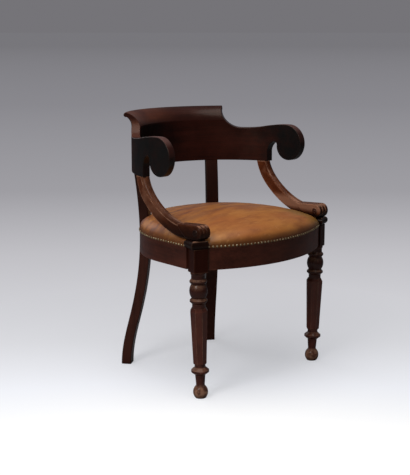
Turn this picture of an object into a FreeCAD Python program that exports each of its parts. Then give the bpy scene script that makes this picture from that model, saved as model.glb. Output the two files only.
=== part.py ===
import FreeCAD, Part
import math
import os

# A desk armchair with a round back, turned front legs, sabre back legs, scrolled arms and a nailed seat.
# Millimetres and degrees. +Z is up, the chair faces -Y, left and right are the sitter's own (left is +X).
# Plan angles count from the middle of the back, and V is the distance behind the round's centre.

# Plan of the seat and the back
ROUND_R = 265.0
ROUND_END = 85.0
BOW_REACH = 227.0
BOW_HALF_CHORD = 236.0
BOW_RISE = 68.6

# Seat rails
RAIL_BOTTOM = 372.0
RAIL_HEIGHT = 75.0
RAIL_T = 28.0
TENON_T = 9.0
TENON_MARGIN = 14.0
TENON_L = 14.0
FRONT_TENON_SET = -2.0
SIDE_TENON_SET = 10.0
JOINT_GAP = 0.15

# Back stiles, sabre leg and post in one piece
STILE_ANGLE = 34.7
STILE_WIDTH = 38.0
STILE_DEPTH = 30.0
STILE_PROUD = 5.0
STILE_FOOT_KICK = 62.0
STILE_KNEE_KICK = 15.0
STILE_SHIN_KICK = 32.0
STILE_CALF_KICK = 57.0
STILE_KNEE_Z = 240.0
STILE_SHIN_Z = 163.0
STILE_CALF_Z = 56.0
STILE_TOP_INSET = 0.5
STILE_TENON_W = 24.0
STILE_TENON_H = 25.0
STILE_ROUNDING = 3.0

# Round back rail with its rolled crest
CREST_TOP = 784.0
CREST_DEPTH = 42.0
CREST_RISE = 67.0
BACK_DEPTH = 104.0
BACK_INSET = 4.0
BACK_T = 26.0
CREST_SWEEP = 43.0
CREST_HOLLOW = 7.8
CREST_BACK_HOLLOW = 3.6
ROLL_R = 7.0
JOINT_ANGLE = 55.2
BACK_EDGE_ROUNDING = 2.0

# Arms, from the joint in the dip to the scroll
SCROLL_RISE = 15.0
SCROLL_V = 4.0
SCROLL_R = 57.5
LOBE_R = 43.0
SCROLL_T = 22.0
STUB_FRONT_V = 70.0
STUB_DEPTH = 37.0
COVE_FOOT_H = 27.0
COVE_DROP = 55.0
COVE_TOP_V = 48.0
COVE_HOLLOW = 7.0
COVE_TIP_HOLLOW = 4.4
DOWEL_R = 5.0
DOWEL_L = 56.0
DOWEL_SPACING = 50.0

# Front legs
LEG_INSET = 7.0
LEG_BEHIND = 12.5
LEG_YAW = 20.0
LEG_RAKE = 1.6
BLOCK_SIDE = 43.0
BLOCK_BELOW = 6.0
BLOCK_DROP = 14.0
BLOCK_ROUNDING = 1.5
SPIGOT_R = 9.0
SPIGOT_H = 20.0
FOOT_FLAT_R = 15.0
FOOT_R = 21.3
FOOT_H = 36.0
ANKLE_LOW_R = 12.2
ANKLE_TOP_R = 14.6
RING_LOW_Z = 68.0
RING_TOP_Z = 91.0
RING_R = 25.4
NECK_R = 15.5
SHAFT_LOW_Z = 103.0
SHAFT_LOW_ACROSS = 37.5
SHAFT_TOP_ACROSS = 48.0
SHOULDER_H = 9.0
UPPER_NECK_R = 18.6
UPPER_NECK_H = 21.0
UPPER_RING_H = 17.0
UPPER_RING_R = 25.0
BALL_H = 39.0
BALL_R = 25.5
CAP_RING_H = 16.0
CAP_RING_R = 24.4
THROAT_R = 19.6
THROAT_H = 18.0
BEVEL_H = 7.0
FLARE = 1.2
FLARE_HOLLOW = 1.2

# Arm supports, their reeded rolls and the moulded caps under them
SUPPORT_T = 27.0
SUPPORT_BEAD_T = 23.5
SUPPORT_BEAD_RISE = 8.0
SUPPORT_QUIRK = 1.0
SUPPORT_TENON_H = 24.0
SUPPORT_TENON_W = 22.0
SUPPORT_CURVE = ((0.0, 0.0), (0.10, 0.32), (0.25, 0.555), (0.415, 0.735), (0.595, 0.875), (0.80, 0.975),
                 (1.0, 1.0))
SUPPORT_END_BEHIND = 23.0
SUPPORT_END_DROP = 23.5
SUPPORT_END_YAW = 5.0
SUPPORT_BULGE = 4.0
SUPPORT_SECTIONS = 8
CAP_SIDE = 53.0
CAP_OUT = 5.0
CAP_H = 24.0
CAP_ROUNDING = 11.0
BARREL_W = 41.0
BARREL_H = 42.5
BARREL_AHEAD = 9.0
BARREL_TAIL = 65.0
REEDS = 3
REED_ROUNDING = 4.0
BARREL_HOLLOW = 5.0
EYE_R = 10.0
EYE_RISE = 3.0
EYE_BOSS_R = 4.5
EYE_DISH = 1.8
EYE_ROUND = 1.0
EYE_PIN_R = 3.0
EYE_PIN_L = 10.0

# Upholstery
LEATHER_T = 2.2
LEATHER_PROUD = 0.6
LEATHER_LAP = 13.0
SEAT_CROWN = 56.0
SEAT_EDGE_RISE = 20.0
SEAT_CROWN_V = 8.0
SEAT_EDGE_ROUND = 22.0
POCKET_GAP = 0.8
LAYER_GAP = 0.3
WEB_W = 55.0
WEB_T = 1.8
WEB_PITCH = 78.0
WEB_COUNT = 5
WEB_INSET = 7.0
HESSIAN_T = 1.0
NAIL_PITCH = 11.6
NAIL_R = 3.2
NAIL_RISE = 2.4
NAIL_DROP = 9.0
NAIL_SIDES = 10

# Corner blocks and their screws
CORNER_H = 50.0
CORNER_REACH = 72.0
CORNER_DEPTH = 30.0
SCREW_R = 2.2
SCREW_HEAD_R = 4.4
SCREW_HEAD_H = 2.6
SCREW_L = 38.0
LEG_SCREW_L = 25.0
SCREW_SPREAD = 34.0

# Sizes that follow from the ones above
RAIL_TOP = RAIL_BOTTOM + RAIL_HEIGHT
BOW_R = (BOW_HALF_CHORD ** 2 + BOW_RISE ** 2) / (2 * BOW_RISE)
BOW_CENTRE_V = BOW_R - BOW_REACH
BACK_R_IN = ROUND_R - BACK_INSET
BACK_R_OUT = BACK_R_IN + BACK_T
BACK_R_MID = BACK_R_IN + BACK_T / 2
CREST_CREASE = CREST_TOP - CREST_DEPTH
ARM_DIP = CREST_TOP - CREST_RISE
SCROLL_TOP = ARM_DIP + SCROLL_RISE
BACK_BOTTOM = ARM_DIP - BACK_DEPTH
COVE_START_Z = BACK_BOTTOM + COVE_FOOT_H
COVE_TOP_Z = SCROLL_TOP - COVE_DROP
ROLL_AXIS_R = BACK_R_IN + CREST_SWEEP
FRONT_REACH = BOW_REACH + LEATHER_PROUD + NAIL_RISE
BACK_REACH = ROLL_AXIS_R + ROLL_R
PLAN_Y = (FRONT_REACH - BACK_REACH) / 2
LAP_BOTTOM = RAIL_TOP - LEATHER_LAP
TENON_LOW = RAIL_BOTTOM + TENON_MARGIN
TENON_HIGH = LAP_BOTTOM - TENON_MARGIN
SEAT_INNER_R = ROUND_R - RAIL_T
STILE_OUT_R = ROUND_R + STILE_PROUD
STILE_IN_R = STILE_OUT_R - STILE_DEPTH
LEG_X = ROUND_R - LEG_INSET
LEG_V = BOW_CENTRE_V - math.sqrt(BOW_R ** 2 - LEG_X ** 2) + LEG_BEHIND
BLOCK_BOTTOM = RAIL_BOTTOM - BLOCK_BELOW
BLOCK_TOP = RAIL_TOP - BLOCK_DROP
CAP_RING_TOP_Z = BLOCK_BOTTOM - THROAT_H
BALL_TOP_Z = CAP_RING_TOP_Z - CAP_RING_H
UPPER_RING_TOP_Z = BALL_TOP_Z - BALL_H
UPPER_RING_LOW_Z = UPPER_RING_TOP_Z - UPPER_RING_H
SHAFT_TOP_Z = UPPER_RING_LOW_Z - UPPER_NECK_H
CAP_TOP = BLOCK_TOP + CAP_H
BARREL_TOP = CAP_TOP + BARREL_H
BARREL_V = LEG_V - BARREL_AHEAD
BARREL_TAIL_V = LEG_V + BARREL_TAIL
SUPPORT_END_V = LEG_V + SUPPORT_END_BEHIND
SUPPORT_END_Z = BARREL_TOP - SUPPORT_END_DROP
WEB_Z = RAIL_TOP + LAYER_GAP
HESSIAN_Z = WEB_Z + 2 * (WEB_T + LAYER_GAP)
STUFFING_Z = HESSIAN_Z + HESSIAN_T + LAYER_GAP

UP = FreeCAD.Vector(0, 0, 1)
FAR = 400.0


# Shape helpers

def vec(x, y, z=0.0):
    return FreeCAD.Vector(x, y, z)


def polar(radius, angle, z=0.0):
    turn = math.radians(angle)
    return vec(radius * math.sin(turn), PLAN_Y + radius * math.cos(turn), z)


def outline(place, start, *steps):
    """A closed wire: each step is an end point, or a via point and an end point of an arc."""
    edges = []
    here = start
    for step in steps + (start,):
        if isinstance(step[0], tuple):
            via, end = step
            edges.append(Part.Arc(place(*here), place(*via), place(*end)).toShape())
        else:
            end = step
            if math.dist(here, end) > 1e-6:
                edges.append(Part.makeLine(place(*here), place(*end)))
        here = end
    return Part.Wire(edges)


def bowed(start, end, rise):
    """The middle of an arc that rises to the right of the line from start to end."""
    length = math.dist(start, end)
    step = (end[0] - start[0]) / length, (end[1] - start[1]) / length
    return (start[0] + end[0]) / 2 + step[1] * rise, (start[1] + end[1]) / 2 - step[0] * rise


def on_circle(centre, radius, angle):
    turn = math.radians(angle)
    return centre[0] + radius * math.cos(turn), centre[1] + radius * math.sin(turn)


def slab(wire, direction):
    return Part.Face(wire).extrude(direction)


def on_plan(x, v):
    return vec(x, PLAN_Y + v)


def ring(r_in, r_out, start, end, low, high):
    """A length of round wall between two plan angles."""
    def at(radius, angle):
        return polar(radius, angle, low)
    middle = (start + end) / 2
    wire = outline(at, (r_in, start), ((r_in, middle), (r_in, end)), (r_out, end),
                   ((r_out, middle), (r_out, start)))
    return slab(wire, UP * (high - low))


def box(x_low, x_high, y_low, y_high, z_low, z_high):
    return Part.makeBox(x_high - x_low, y_high - y_low, z_high - z_low, vec(x_low, y_low, z_low))


def at_angle(shape, angle):
    """Takes a shape drawn with its radius along Y to its place on the round."""
    turned = shape.copy()
    turned.rotate(vec(0, 0), UP, -angle)
    turned.translate(vec(0, PLAN_Y))
    return turned


def at_leg(shape):
    """Takes a shape drawn about the leg's axis, front to -Y, to the left front leg."""
    turned = shape.copy()
    turned.rotate(vec(0, 0), UP, LEG_YAW)
    turned.translate(on_plan(LEG_X, LEG_V))
    return turned


def mirrored(shape):
    return shape.mirror(vec(0, 0), vec(1, 0))


def both(shape):
    return Part.makeCompound([shape, mirrored(shape)])


def even_polygon(sides, across, z):
    """A wire of equal sides, measured across its flats."""
    half_side = math.pi / sides
    radius = across / 2 / math.cos(half_side)
    corners = []
    for k in range(sides):
        turn = (2 * k + 1) * half_side
        corners.append(vec(radius * math.cos(turn), radius * math.sin(turn), z))
    return Part.makePolygon(corners + corners[:1])


def turned_profile(*points):
    """A turned solid from (radius, height) points, with arcs given as in outline."""
    top = points[-1] if not isinstance(points[-1][0], tuple) else points[-1][1]
    wire = outline(lambda r, z: vec(r, 0, z), (0, points[0][1]), *points, (0, top[1]))
    return Part.Face(wire).revolve(vec(0, 0), UP, 360)


# Seat outline at a distance inside the rails' outer face

def side_point(inset, along):
    """A point and its outward angle on the left side, a distance along from the round's middle back."""
    radius = ROUND_R - inset
    arc_length = radius * math.radians(ROUND_END)
    if along <= arc_length:
        angle = math.degrees(along / radius)
        return radius * math.sin(math.radians(angle)), radius * math.cos(math.radians(angle)), angle
    rest = along - arc_length
    end = math.radians(ROUND_END)
    return (radius * math.sin(end) + rest * math.cos(end),
            radius * math.cos(end) - rest * math.sin(end), ROUND_END)


def seat_corner(inset):
    """Where the straight side meets the bowed front."""
    radius = ROUND_R - inset
    bow = BOW_R - inset
    end = math.radians(ROUND_END)
    from_x = radius * math.sin(end)
    from_v = radius * math.cos(end) - BOW_CENTRE_V
    half = from_x * math.cos(end) - from_v * math.sin(end)
    along = -half + math.sqrt(half ** 2 - (from_x ** 2 + from_v ** 2 - bow ** 2))
    return side_point(inset, radius * end + along)[:2]


def seat_prism(inset, low, high):
    radius = ROUND_R - inset
    tangent = side_point(inset, radius * math.radians(ROUND_END))[:2]
    corner = seat_corner(inset)
    wire = outline(lambda x, v: vec(x, PLAN_Y + v, low), (-tangent[0], tangent[1]),
                   ((0, radius), tangent), corner,
                   ((0, inset - BOW_REACH), (-corner[0], corner[1])))
    return slab(wire, UP * (high - low))


# Front legs: square block, turned collars and ball, eight-sided shaft, ball foot

def octagon(across, z):
    return even_polygon(8, across, z)


def collar(low, high, radius, neck_low, neck_high):
    """The points of a sharp-edged turned ring."""
    middle = (low + high) / 2
    nib = (high - low) / 8
    return (neck_low, low), (radius, middle - nib), (radius, middle + nib), (neck_high, high)


def front_leg():
    lower = turned_profile(
        (FOOT_FLAT_R, -2.0), (FOOT_FLAT_R, 0.0), ((FOOT_R, FOOT_H / 2), (ANKLE_LOW_R, FOOT_H)),
        *collar(RING_LOW_Z, RING_TOP_Z, RING_R, ANKLE_TOP_R, NECK_R),
        (NECK_R, SHAFT_LOW_Z))
    shaft_end = SHAFT_LOW_ACROSS - 2 * BEVEL_H
    shaft = Part.makeLoft([octagon(shaft_end, SHAFT_LOW_Z - BEVEL_H),
                           octagon(SHAFT_LOW_ACROSS, SHAFT_LOW_Z),
                           octagon(SHAFT_TOP_ACROSS, SHAFT_TOP_Z),
                           octagon(SHAFT_TOP_ACROSS - SHOULDER_H, SHAFT_TOP_Z + SHOULDER_H)], True, True)
    ball_mid = (UPPER_RING_TOP_Z + BALL_TOP_Z) / 2
    flare_low = (THROAT_R, BLOCK_BOTTOM - BEVEL_H)
    flare_top = (THROAT_R + FLARE, BLOCK_BOTTOM)
    upper = turned_profile(
        (UPPER_NECK_R, SHAFT_TOP_Z),
        *collar(UPPER_RING_LOW_Z, UPPER_RING_TOP_Z, UPPER_RING_R, UPPER_NECK_R, THROAT_R),
        ((BALL_R, ball_mid), (THROAT_R, BALL_TOP_Z)),
        *collar(BALL_TOP_Z, CAP_RING_TOP_Z, CAP_RING_R, THROAT_R, THROAT_R)[1:],
        flare_low, (bowed(flare_low, flare_top, FLARE_HOLLOW), flare_top),
        (THROAT_R + FLARE, BLOCK_BOTTOM + BEVEL_H))
    turning = lower.fuse([shaft, upper])
    turning.rotate(vec(0, 0, BLOCK_BOTTOM), vec(0, 1, 0), LEG_RAKE)
    turning.rotate(vec(0, 0), UP, -LEG_YAW)
    half = BLOCK_SIDE / 2
    block = box(-half, half, -half, half, BLOCK_BOTTOM, BLOCK_TOP)
    upright = [edge for edge in block.Edges if edge.BoundBox.ZLength > BLOCK_SIDE]
    block = block.makeFillet(BLOCK_ROUNDING, upright)
    spigot = Part.makeCylinder(SPIGOT_R, SPIGOT_H, vec(0, 0, BLOCK_TOP))
    leg = at_leg(turning.fuse([block, spigot]))
    floor = box(-FAR, FAR, -FAR, FAR, -FAR, 0)
    leg = leg.cut(floor).cut(leg_mortises())
    return leg.removeSplitter()


def leg_tenons(gap):
    """The front rail's and the side rail's tenons in the left front block."""
    half = BLOCK_SIDE / 2
    thick = TENON_T / 2 + gap
    front = box(-half - TENON_L / 2, TENON_L - half + gap, FRONT_TENON_SET - thick, FRONT_TENON_SET + thick,
                TENON_LOW - gap, TENON_HIGH + gap)
    side = box(SIDE_TENON_SET - thick, SIDE_TENON_SET + thick, half - TENON_L - gap, half + TENON_L / 2,
               TENON_LOW - gap, TENON_HIGH + gap)
    return at_leg(front), at_leg(side)


def leg_mortises():
    return Part.makeCompound(leg_tenons(JOINT_GAP))


def leg_block_space(gap, low, high, side=BLOCK_SIDE, out=0.0):
    half = side / 2 + gap
    return at_leg(box(out - half, out + half, -half, half, low, high))


def cap_space():
    """The notch in the rails' ends that the overhang of the left support's cap sits in."""
    return leg_block_space(JOINT_GAP, BLOCK_TOP - JOINT_GAP, FAR * 2, CAP_SIDE, CAP_OUT)


# Back stiles

def stile_edge(inner):
    """The radial outline of one edge of the stile, from the floor up."""
    base = STILE_IN_R if inner else STILE_OUT_R
    top = BACK_R_IN if inner else BACK_R_OUT - STILE_TOP_INSET
    points = [(base + STILE_FOOT_KICK, 0), (base + STILE_CALF_KICK, STILE_CALF_Z),
              (base + STILE_SHIN_KICK, STILE_SHIN_Z), (base + STILE_KNEE_KICK, STILE_KNEE_Z),
              (base, RAIL_BOTTOM), (base, RAIL_TOP), (top, BACK_BOTTOM)]
    curve = Part.BSplineCurve()
    curve.interpolate([vec(-STILE_WIDTH / 2, r, z) for r, z in points])
    return curve


def stile_top_tenon(gap):
    middle = (BACK_R_IN + BACK_R_OUT - STILE_TOP_INSET) / 2
    half = STILE_TENON_W / 2 + gap
    thick = TENON_T / 2 + gap
    return box(-half, half, middle - thick, middle + thick,
               BACK_BOTTOM - STILE_TENON_H / 2, BACK_BOTTOM + STILE_TENON_H + gap)


def stile_rail_tenon(side, gap):
    """A rail's tenon in the stile, on the back rail's side (-1) or the side rail's (+1)."""
    middle = (SEAT_INNER_R + ROUND_R) / 2
    thick = TENON_T / 2 + gap
    inner = side * (STILE_WIDTH / 2 - TENON_L - gap)
    outer = side * (STILE_WIDTH / 2 + TENON_L / 2)
    return box(min(inner, outer), max(inner, outer), middle - thick, middle + thick,
               TENON_LOW - gap, TENON_HIGH + gap)


def back_stile():
    front = stile_edge(True)
    rear = stile_edge(False)
    wire = Part.Wire([front.toShape(), Part.makeLine(front.EndPoint, rear.EndPoint), rear.toShape(),
                      Part.makeLine(rear.StartPoint, front.StartPoint)])
    post = slab(wire, vec(STILE_WIDTH, 0))
    long_edges = [edge for edge in post.Edges if edge.Length > RAIL_BOTTOM]
    post = post.makeFillet(STILE_ROUNDING, long_edges)
    post = post.fuse(stile_top_tenon(0))
    post = post.cut([stile_rail_tenon(-1, JOINT_GAP), stile_rail_tenon(1, JOINT_GAP)])
    return at_angle(post, STILE_ANGLE)


def stile_space(gap, low, high, radius_low):
    half = STILE_WIDTH / 2 + gap
    return both(at_angle(box(-half, half, radius_low, FAR, low, high), STILE_ANGLE))


# Seat rails, tenoned into the stiles and the leg blocks and rebated for the leather's lap

def lap_rebate():
    low = LAP_BOTTOM - LAYER_GAP
    inset = LEATHER_T - LEATHER_PROUD + LAYER_GAP
    return seat_prism(-FAR / 4, low, RAIL_TOP + 1).cut(seat_prism(inset, low, RAIL_TOP + 1))


def back_seat_rail():
    rail = ring(SEAT_INNER_R, ROUND_R, -STILE_ANGLE, STILE_ANGLE, RAIL_BOTTOM, RAIL_TOP)
    rail = rail.cut(stile_space(0, 0, FAR * 2, SEAT_INNER_R - RAIL_T))
    rail = rail.cut(lap_rebate())
    return rail.fuse(both(at_angle(stile_rail_tenon(-1, 0), STILE_ANGLE)))


def side_seat_rail():
    round_part = ring(SEAT_INNER_R, ROUND_R, STILE_ANGLE, ROUND_END, RAIL_BOTTOM, RAIL_TOP)
    straight = seat_prism(0, RAIL_BOTTOM, RAIL_TOP).cut(seat_prism(RAIL_T, RAIL_BOTTOM, RAIL_TOP))
    tangent_v = ROUND_R * math.cos(math.radians(ROUND_END))
    reach = box(LEG_X / 2, FAR, PLAN_Y + LEG_V - FAR, PLAN_Y + tangent_v + RAIL_T, RAIL_BOTTOM, RAIL_TOP)
    beyond = at_leg(box(-FAR, FAR, -FAR, BLOCK_SIDE / 2, RAIL_BOTTOM, RAIL_TOP))
    rail = round_part.fuse(straight.common(reach).cut(beyond))
    rail = rail.cut([stile_space(0, 0, FAR * 2, SEAT_INNER_R - RAIL_T), lap_rebate(), cap_space()])
    rail = rail.fuse([at_angle(stile_rail_tenon(1, 0), STILE_ANGLE), leg_tenons(0)[1]])
    return rail.removeSplitter()


def front_seat_rail():
    half_angle = math.degrees(math.asin((LEG_X + BLOCK_SIDE) / BOW_R))
    def at(radius, angle):
        turn = math.radians(angle)
        return vec(radius * math.sin(turn), PLAN_Y + BOW_CENTRE_V - radius * math.cos(turn), RAIL_BOTTOM)
    inner = BOW_R - RAIL_T
    wire = outline(at, (inner, -half_angle), ((inner, 0), (inner, half_angle)), (BOW_R, half_angle),
                   ((BOW_R, 0), (BOW_R, -half_angle)))
    rail = slab(wire, UP * RAIL_HEIGHT)
    beyond = at_leg(box(-BLOCK_SIDE / 2, FAR, -FAR, FAR, RAIL_BOTTOM, RAIL_TOP))
    rail = rail.cut([both(beyond), lap_rebate(), both(cap_space())])
    return rail.fuse(both(leg_tenons(0)[0]))


# Corner blocks glued and screwed inside the frame

CORNER_LOW = RAIL_BOTTOM + (LAP_BOTTOM - RAIL_BOTTOM - CORNER_H) / 2


def front_corner_block():
    half = BLOCK_SIDE / 2
    wire = outline(lambda x, y: vec(x, y, CORNER_LOW), (-half - CORNER_REACH, -half), (half, -half),
                   (half, half + CORNER_REACH))
    block = at_leg(slab(wire, UP * CORNER_H))
    block = block.common(seat_prism(RAIL_T, CORNER_LOW, CORNER_LOW + CORNER_H))
    return block.cut(leg_block_space(0, CORNER_LOW, CORNER_LOW + CORNER_H))


def back_corner_block():
    low = SEAT_INNER_R - CORNER_DEPTH
    block = box(-CORNER_REACH / 2 - RAIL_T / 2, CORNER_REACH / 2 + RAIL_T / 2, low, STILE_IN_R,
                CORNER_LOW, CORNER_LOW + CORNER_H)
    return at_angle(block, STILE_ANGLE).common(seat_prism(RAIL_T, CORNER_LOW, CORNER_LOW + CORNER_H))


def screw(start, direction, length, gap=0.0):
    head = Part.makeCone(SCREW_HEAD_R + gap, SCREW_R + gap, SCREW_HEAD_H, start, direction)
    return head.fuse(Part.makeCylinder(SCREW_R + gap, length + gap, start, direction))


def leg_screw(gap=0.0):
    """The screw through the left front corner block into the leg's block."""
    middle = CORNER_LOW + CORNER_H / 2
    reach = CORNER_REACH / 2
    start = vec(-BLOCK_SIDE / 2 - reach / 2 + BLOCK_SIDE / 4, BLOCK_SIDE / 4 + reach / 2, middle)
    return at_leg(screw(start, vec(1, -1), LEG_SCREW_L, gap))


def back_screws(gap=0.0):
    """Two screws in the left back block, one into each rail."""
    middle = CORNER_LOW + CORNER_H / 2
    low = SEAT_INNER_R - CORNER_DEPTH
    return [at_angle(screw(vec(x, low, middle), vec(0, 1), SCREW_L, gap), STILE_ANGLE)
            for x in (-SCREW_SPREAD, SCREW_SPREAD)]


# Round back rail and crest

def crest_rail():
    roll_z = CREST_TOP - ROLL_R
    crease = (BACK_R_IN, CREST_CREASE)
    rim = (ROLL_AXIS_R, CREST_TOP)
    hollow_top = (ROLL_AXIS_R - ROLL_R / 3, roll_z - ROLL_R)
    hollow_low = (BACK_R_OUT, CREST_CREASE)
    wire = outline(lambda r, z: polar(r, -JOINT_ANGLE, z), (BACK_R_IN, BACK_BOTTOM), crease,
                   (bowed(crease, rim, -CREST_HOLLOW), rim),
                   ((ROLL_AXIS_R + ROLL_R, roll_z), (ROLL_AXIS_R, roll_z - ROLL_R)), hollow_top,
                   (bowed(hollow_top, hollow_low, CREST_BACK_HOLLOW), hollow_low),
                   (BACK_R_OUT, BACK_BOTTOM))
    rail = Part.Face(wire).revolve(vec(0, PLAN_Y), vec(0, 0, -1), 2 * JOINT_ANGLE)
    cavetto = Part.makeCylinder(CREST_TOP - ARM_DIP, FAR, vec(0, 0, CREST_TOP), vec(0, 1))
    rail = rail.cut(both(at_angle(cavetto, JOINT_ANGLE)))
    soft = []
    for edge in rail.Edges:
        at_bottom = edge.BoundBox.ZMax < BACK_BOTTOM + 1 and edge.Length > BACK_R_IN
        if at_bottom or edge.Curve.TypeId == "Part::GeomBSplineCurve":
            soft.append(edge)
    rail = rail.makeFillet(BACK_EDGE_ROUNDING, soft)
    rail = rail.cut([both(at_angle(stile_top_tenon(JOINT_GAP), STILE_ANGLE)), arm_dowels(JOINT_GAP)])
    return rail


def arm_dowels(gap=0.0):
    middle = (BACK_BOTTOM + ARM_DIP) / 2
    pins = []
    for z in (middle - DOWEL_SPACING / 2, middle + DOWEL_SPACING / 2):
        start = vec(-DOWEL_L / 2 - gap, BACK_R_MID, z)
        pin = Part.makeCylinder(DOWEL_R + gap, DOWEL_L + 2 * gap, start, vec(1, 0))
        pins.append(at_angle(pin, JOINT_ANGLE))
    return both(Part.makeCompound(pins))


# Arms

def arm_outline():
    """The arm from the side: straight under, coved behind the lobe, scrolled in front, dipped on top."""
    centre_z = SCROLL_TOP - SCROLL_R
    slant = math.sqrt(0.5)
    lobe = (SCROLL_V - (SCROLL_R - LOBE_R) * slant, centre_z - (SCROLL_R - LOBE_R) * slant)
    meet = (SCROLL_V - SCROLL_R * slant, centre_z - SCROLL_R * slant)
    lobe_back = on_circle(lobe, LOBE_R, 0)
    lobe_low = on_circle(lobe, LOBE_R, -67.5)
    cove_start = (STUB_FRONT_V, COVE_START_Z)
    cove_top = (COVE_TOP_V, COVE_TOP_Z)
    dip_v = BACK_R_MID * math.cos(math.radians(JOINT_ANGLE))
    rise = SCROLL_TOP - ARM_DIP
    half_v = (dip_v + SCROLL_V) / 2
    return outline(lambda v, z: vec(0, PLAN_Y + v, z), (BACK_R_OUT, BACK_BOTTOM),
                   (STUB_FRONT_V, BACK_BOTTOM), cove_start,
                   (bowed(cove_start, cove_top, COVE_HOLLOW), cove_top),
                   (bowed(cove_top, lobe_back, COVE_TIP_HOLLOW), lobe_back),
                   (lobe_low, meet), ((SCROLL_V - SCROLL_R, centre_z), (SCROLL_V, SCROLL_TOP)),
                   (((SCROLL_V + half_v) / 2, SCROLL_TOP - rise / 8), (half_v, ARM_DIP + rise / 2)),
                   (((dip_v + half_v) / 2, ARM_DIP + rise / 8), (dip_v, ARM_DIP)),
                   (BACK_R_OUT, ARM_DIP))


def arm_blank():
    """The bent plank of the arm in plan, thinning towards the scroll."""
    end = math.radians(ROUND_END)
    length = BACK_R_MID * math.cos(end) - SCROLL_V + SCROLL_R + BACK_T / 4
    def forward(radius, spread):
        return (radius * math.sin(end) + length * math.cos(end) + spread * math.sin(end),
                radius * math.cos(end) - length * math.sin(end) + spread * math.cos(end))
    def rim(radius, angle):
        turn = math.radians(angle)
        return radius * math.sin(turn), radius * math.cos(turn)
    middle = (JOINT_ANGLE + ROUND_END) / 2
    thin = (BACK_T - SCROLL_T) / 2
    wire = outline(on_plan, rim(BACK_R_IN, JOINT_ANGLE),
                   (rim(BACK_R_IN, middle), rim(BACK_R_IN, ROUND_END)),
                   forward(BACK_R_IN, thin), forward(BACK_R_OUT, -thin), rim(BACK_R_OUT, ROUND_END),
                   (rim(BACK_R_OUT, middle), rim(BACK_R_OUT, JOINT_ANGLE)))
    return slab(wire, UP * CREST_TOP)


def arm():
    shape = arm_blank().common(slab(arm_outline(), vec(FAR, 0)))
    soft = []
    for edge in shape.Edges:
        if edge.Curve.TypeId != "Part::GeomLine" and edge.Length > LOBE_R / 3:
            soft.append(edge)
    shape = shape.makeFillet(BACK_EDGE_ROUNDING, soft)
    return shape.cut([arm_dowels(JOINT_GAP), support_tenon(JOINT_GAP)])


# Arm supports

STUB_V = STUB_FRONT_V + STUB_DEPTH / 2
STUB_X = math.sqrt(BACK_R_MID ** 2 - STUB_V ** 2)
STUB_YAW = math.degrees(math.asin(STUB_V / BACK_R_MID))


def support_path():
    """The line down the middle of the left support, from the arm forward and down to the roll."""
    run = STUB_V - SUPPORT_END_V
    drop = BACK_BOTTOM - SUPPORT_END_Z
    points = []
    for ahead, down in SUPPORT_CURVE:
        points.append(vec(0, STUB_V - ahead * run, BACK_BOTTOM - down * drop))
    path = Part.BSplineCurve()
    path.interpolate(points)
    return path


def moulded_section():
    """Square at the back, a bead between two quirks in front."""
    half = SUPPORT_T / 2
    bead = SUPPORT_BEAD_T / 2
    deep = STUB_DEPTH / 2
    face = deep - SUPPORT_BEAD_RISE
    quirk = face - SUPPORT_QUIRK
    return outline(lambda a, b: vec(a, -b), (-half, -deep), (half, -deep), (half, face), (bead, face),
                   (bead, quirk), ((0, deep), (-bead, quirk)), (-bead, face), (-half, face))


def plain_section(gap):
    half = SUPPORT_T / 2 + gap
    deep = STUB_DEPTH / 2 + gap
    return outline(vec, (-half, -deep), (half, -deep), (half, deep), (-half, deep))


def support_sweep(section):
    """The section carried down the support's path, turning from the arm's direction to the leg's."""
    path = support_path()
    sections = []
    for k in range(-1, SUPPORT_SECTIONS):
        part = max(k, 0) / (SUPPORT_SECTIONS - 1)
        at = path.FirstParameter + part * (path.LastParameter - path.FirstParameter)
        heading = path.tangent(at)[0]
        place = path.value(at)
        if k < 0:
            place -= heading * STUB_DEPTH / 2
        wire = section.copy()
        wire.rotate(vec(0, 0), vec(1, 0), -math.degrees(math.atan2(-heading.y, -heading.z)))
        wire.rotate(vec(0, 0), UP, SUPPORT_END_YAW + (STUB_YAW - SUPPORT_END_YAW) * (1 - part) ** 2)
        x = STUB_X + (LEG_X - STUB_X) * part + SUPPORT_BULGE * 4 * part * (1 - part)
        wire.translate(vec(x, PLAN_Y + place.y, place.z))
        sections.append(wire)
    sweep = Part.makeLoft(sections, True, False)
    return sweep.cut(box(-FAR, FAR, -FAR, FAR, BACK_BOTTOM, CREST_TOP))


def support_tenon(gap):
    half = SUPPORT_TENON_W / 2 + gap
    thick = TENON_T / 2 + gap
    tenon = box(-thick, thick, -half, half, BACK_BOTTOM - SUPPORT_TENON_H / 2,
                BACK_BOTTOM + SUPPORT_TENON_H + gap)
    tenon.rotate(vec(0, 0), UP, STUB_YAW)
    tenon.translate(vec(STUB_X, PLAN_Y + STUB_V))
    return tenon


def barrel_at(v, z):
    return vec(0, v - LEG_V, z)


def support_barrel():
    """The roll at the support's foot, reeded from back to front."""
    radius = (BARREL_TOP - CAP_TOP) / 2
    middle = CAP_TOP + radius
    tail = (BARREL_TAIL_V, BARREL_TOP - REED_ROUNDING)
    heel = (LEG_V + radius, CAP_TOP)
    wire = outline(barrel_at, tail, (BARREL_V, BARREL_TOP),
                   ((BARREL_V - radius, middle), (BARREL_V, CAP_TOP)), heel,
                   (bowed(heel, tail, BARREL_HOLLOW), tail))
    reed_w = BARREL_W / REEDS
    reed = slab(wire, vec(reed_w, 0))
    sides = [edge for edge in reed.Edges if edge.BoundBox.XLength < 1e-6]
    reed = reed.makeFillet(REED_ROUNDING, sides)
    barrel = []
    for k in range(REEDS):
        copy = reed.copy()
        copy.translate(on_plan(LEG_X - BARREL_W / 2 + k * reed_w, LEG_V))
        barrel.append(copy)
    return barrel


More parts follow.
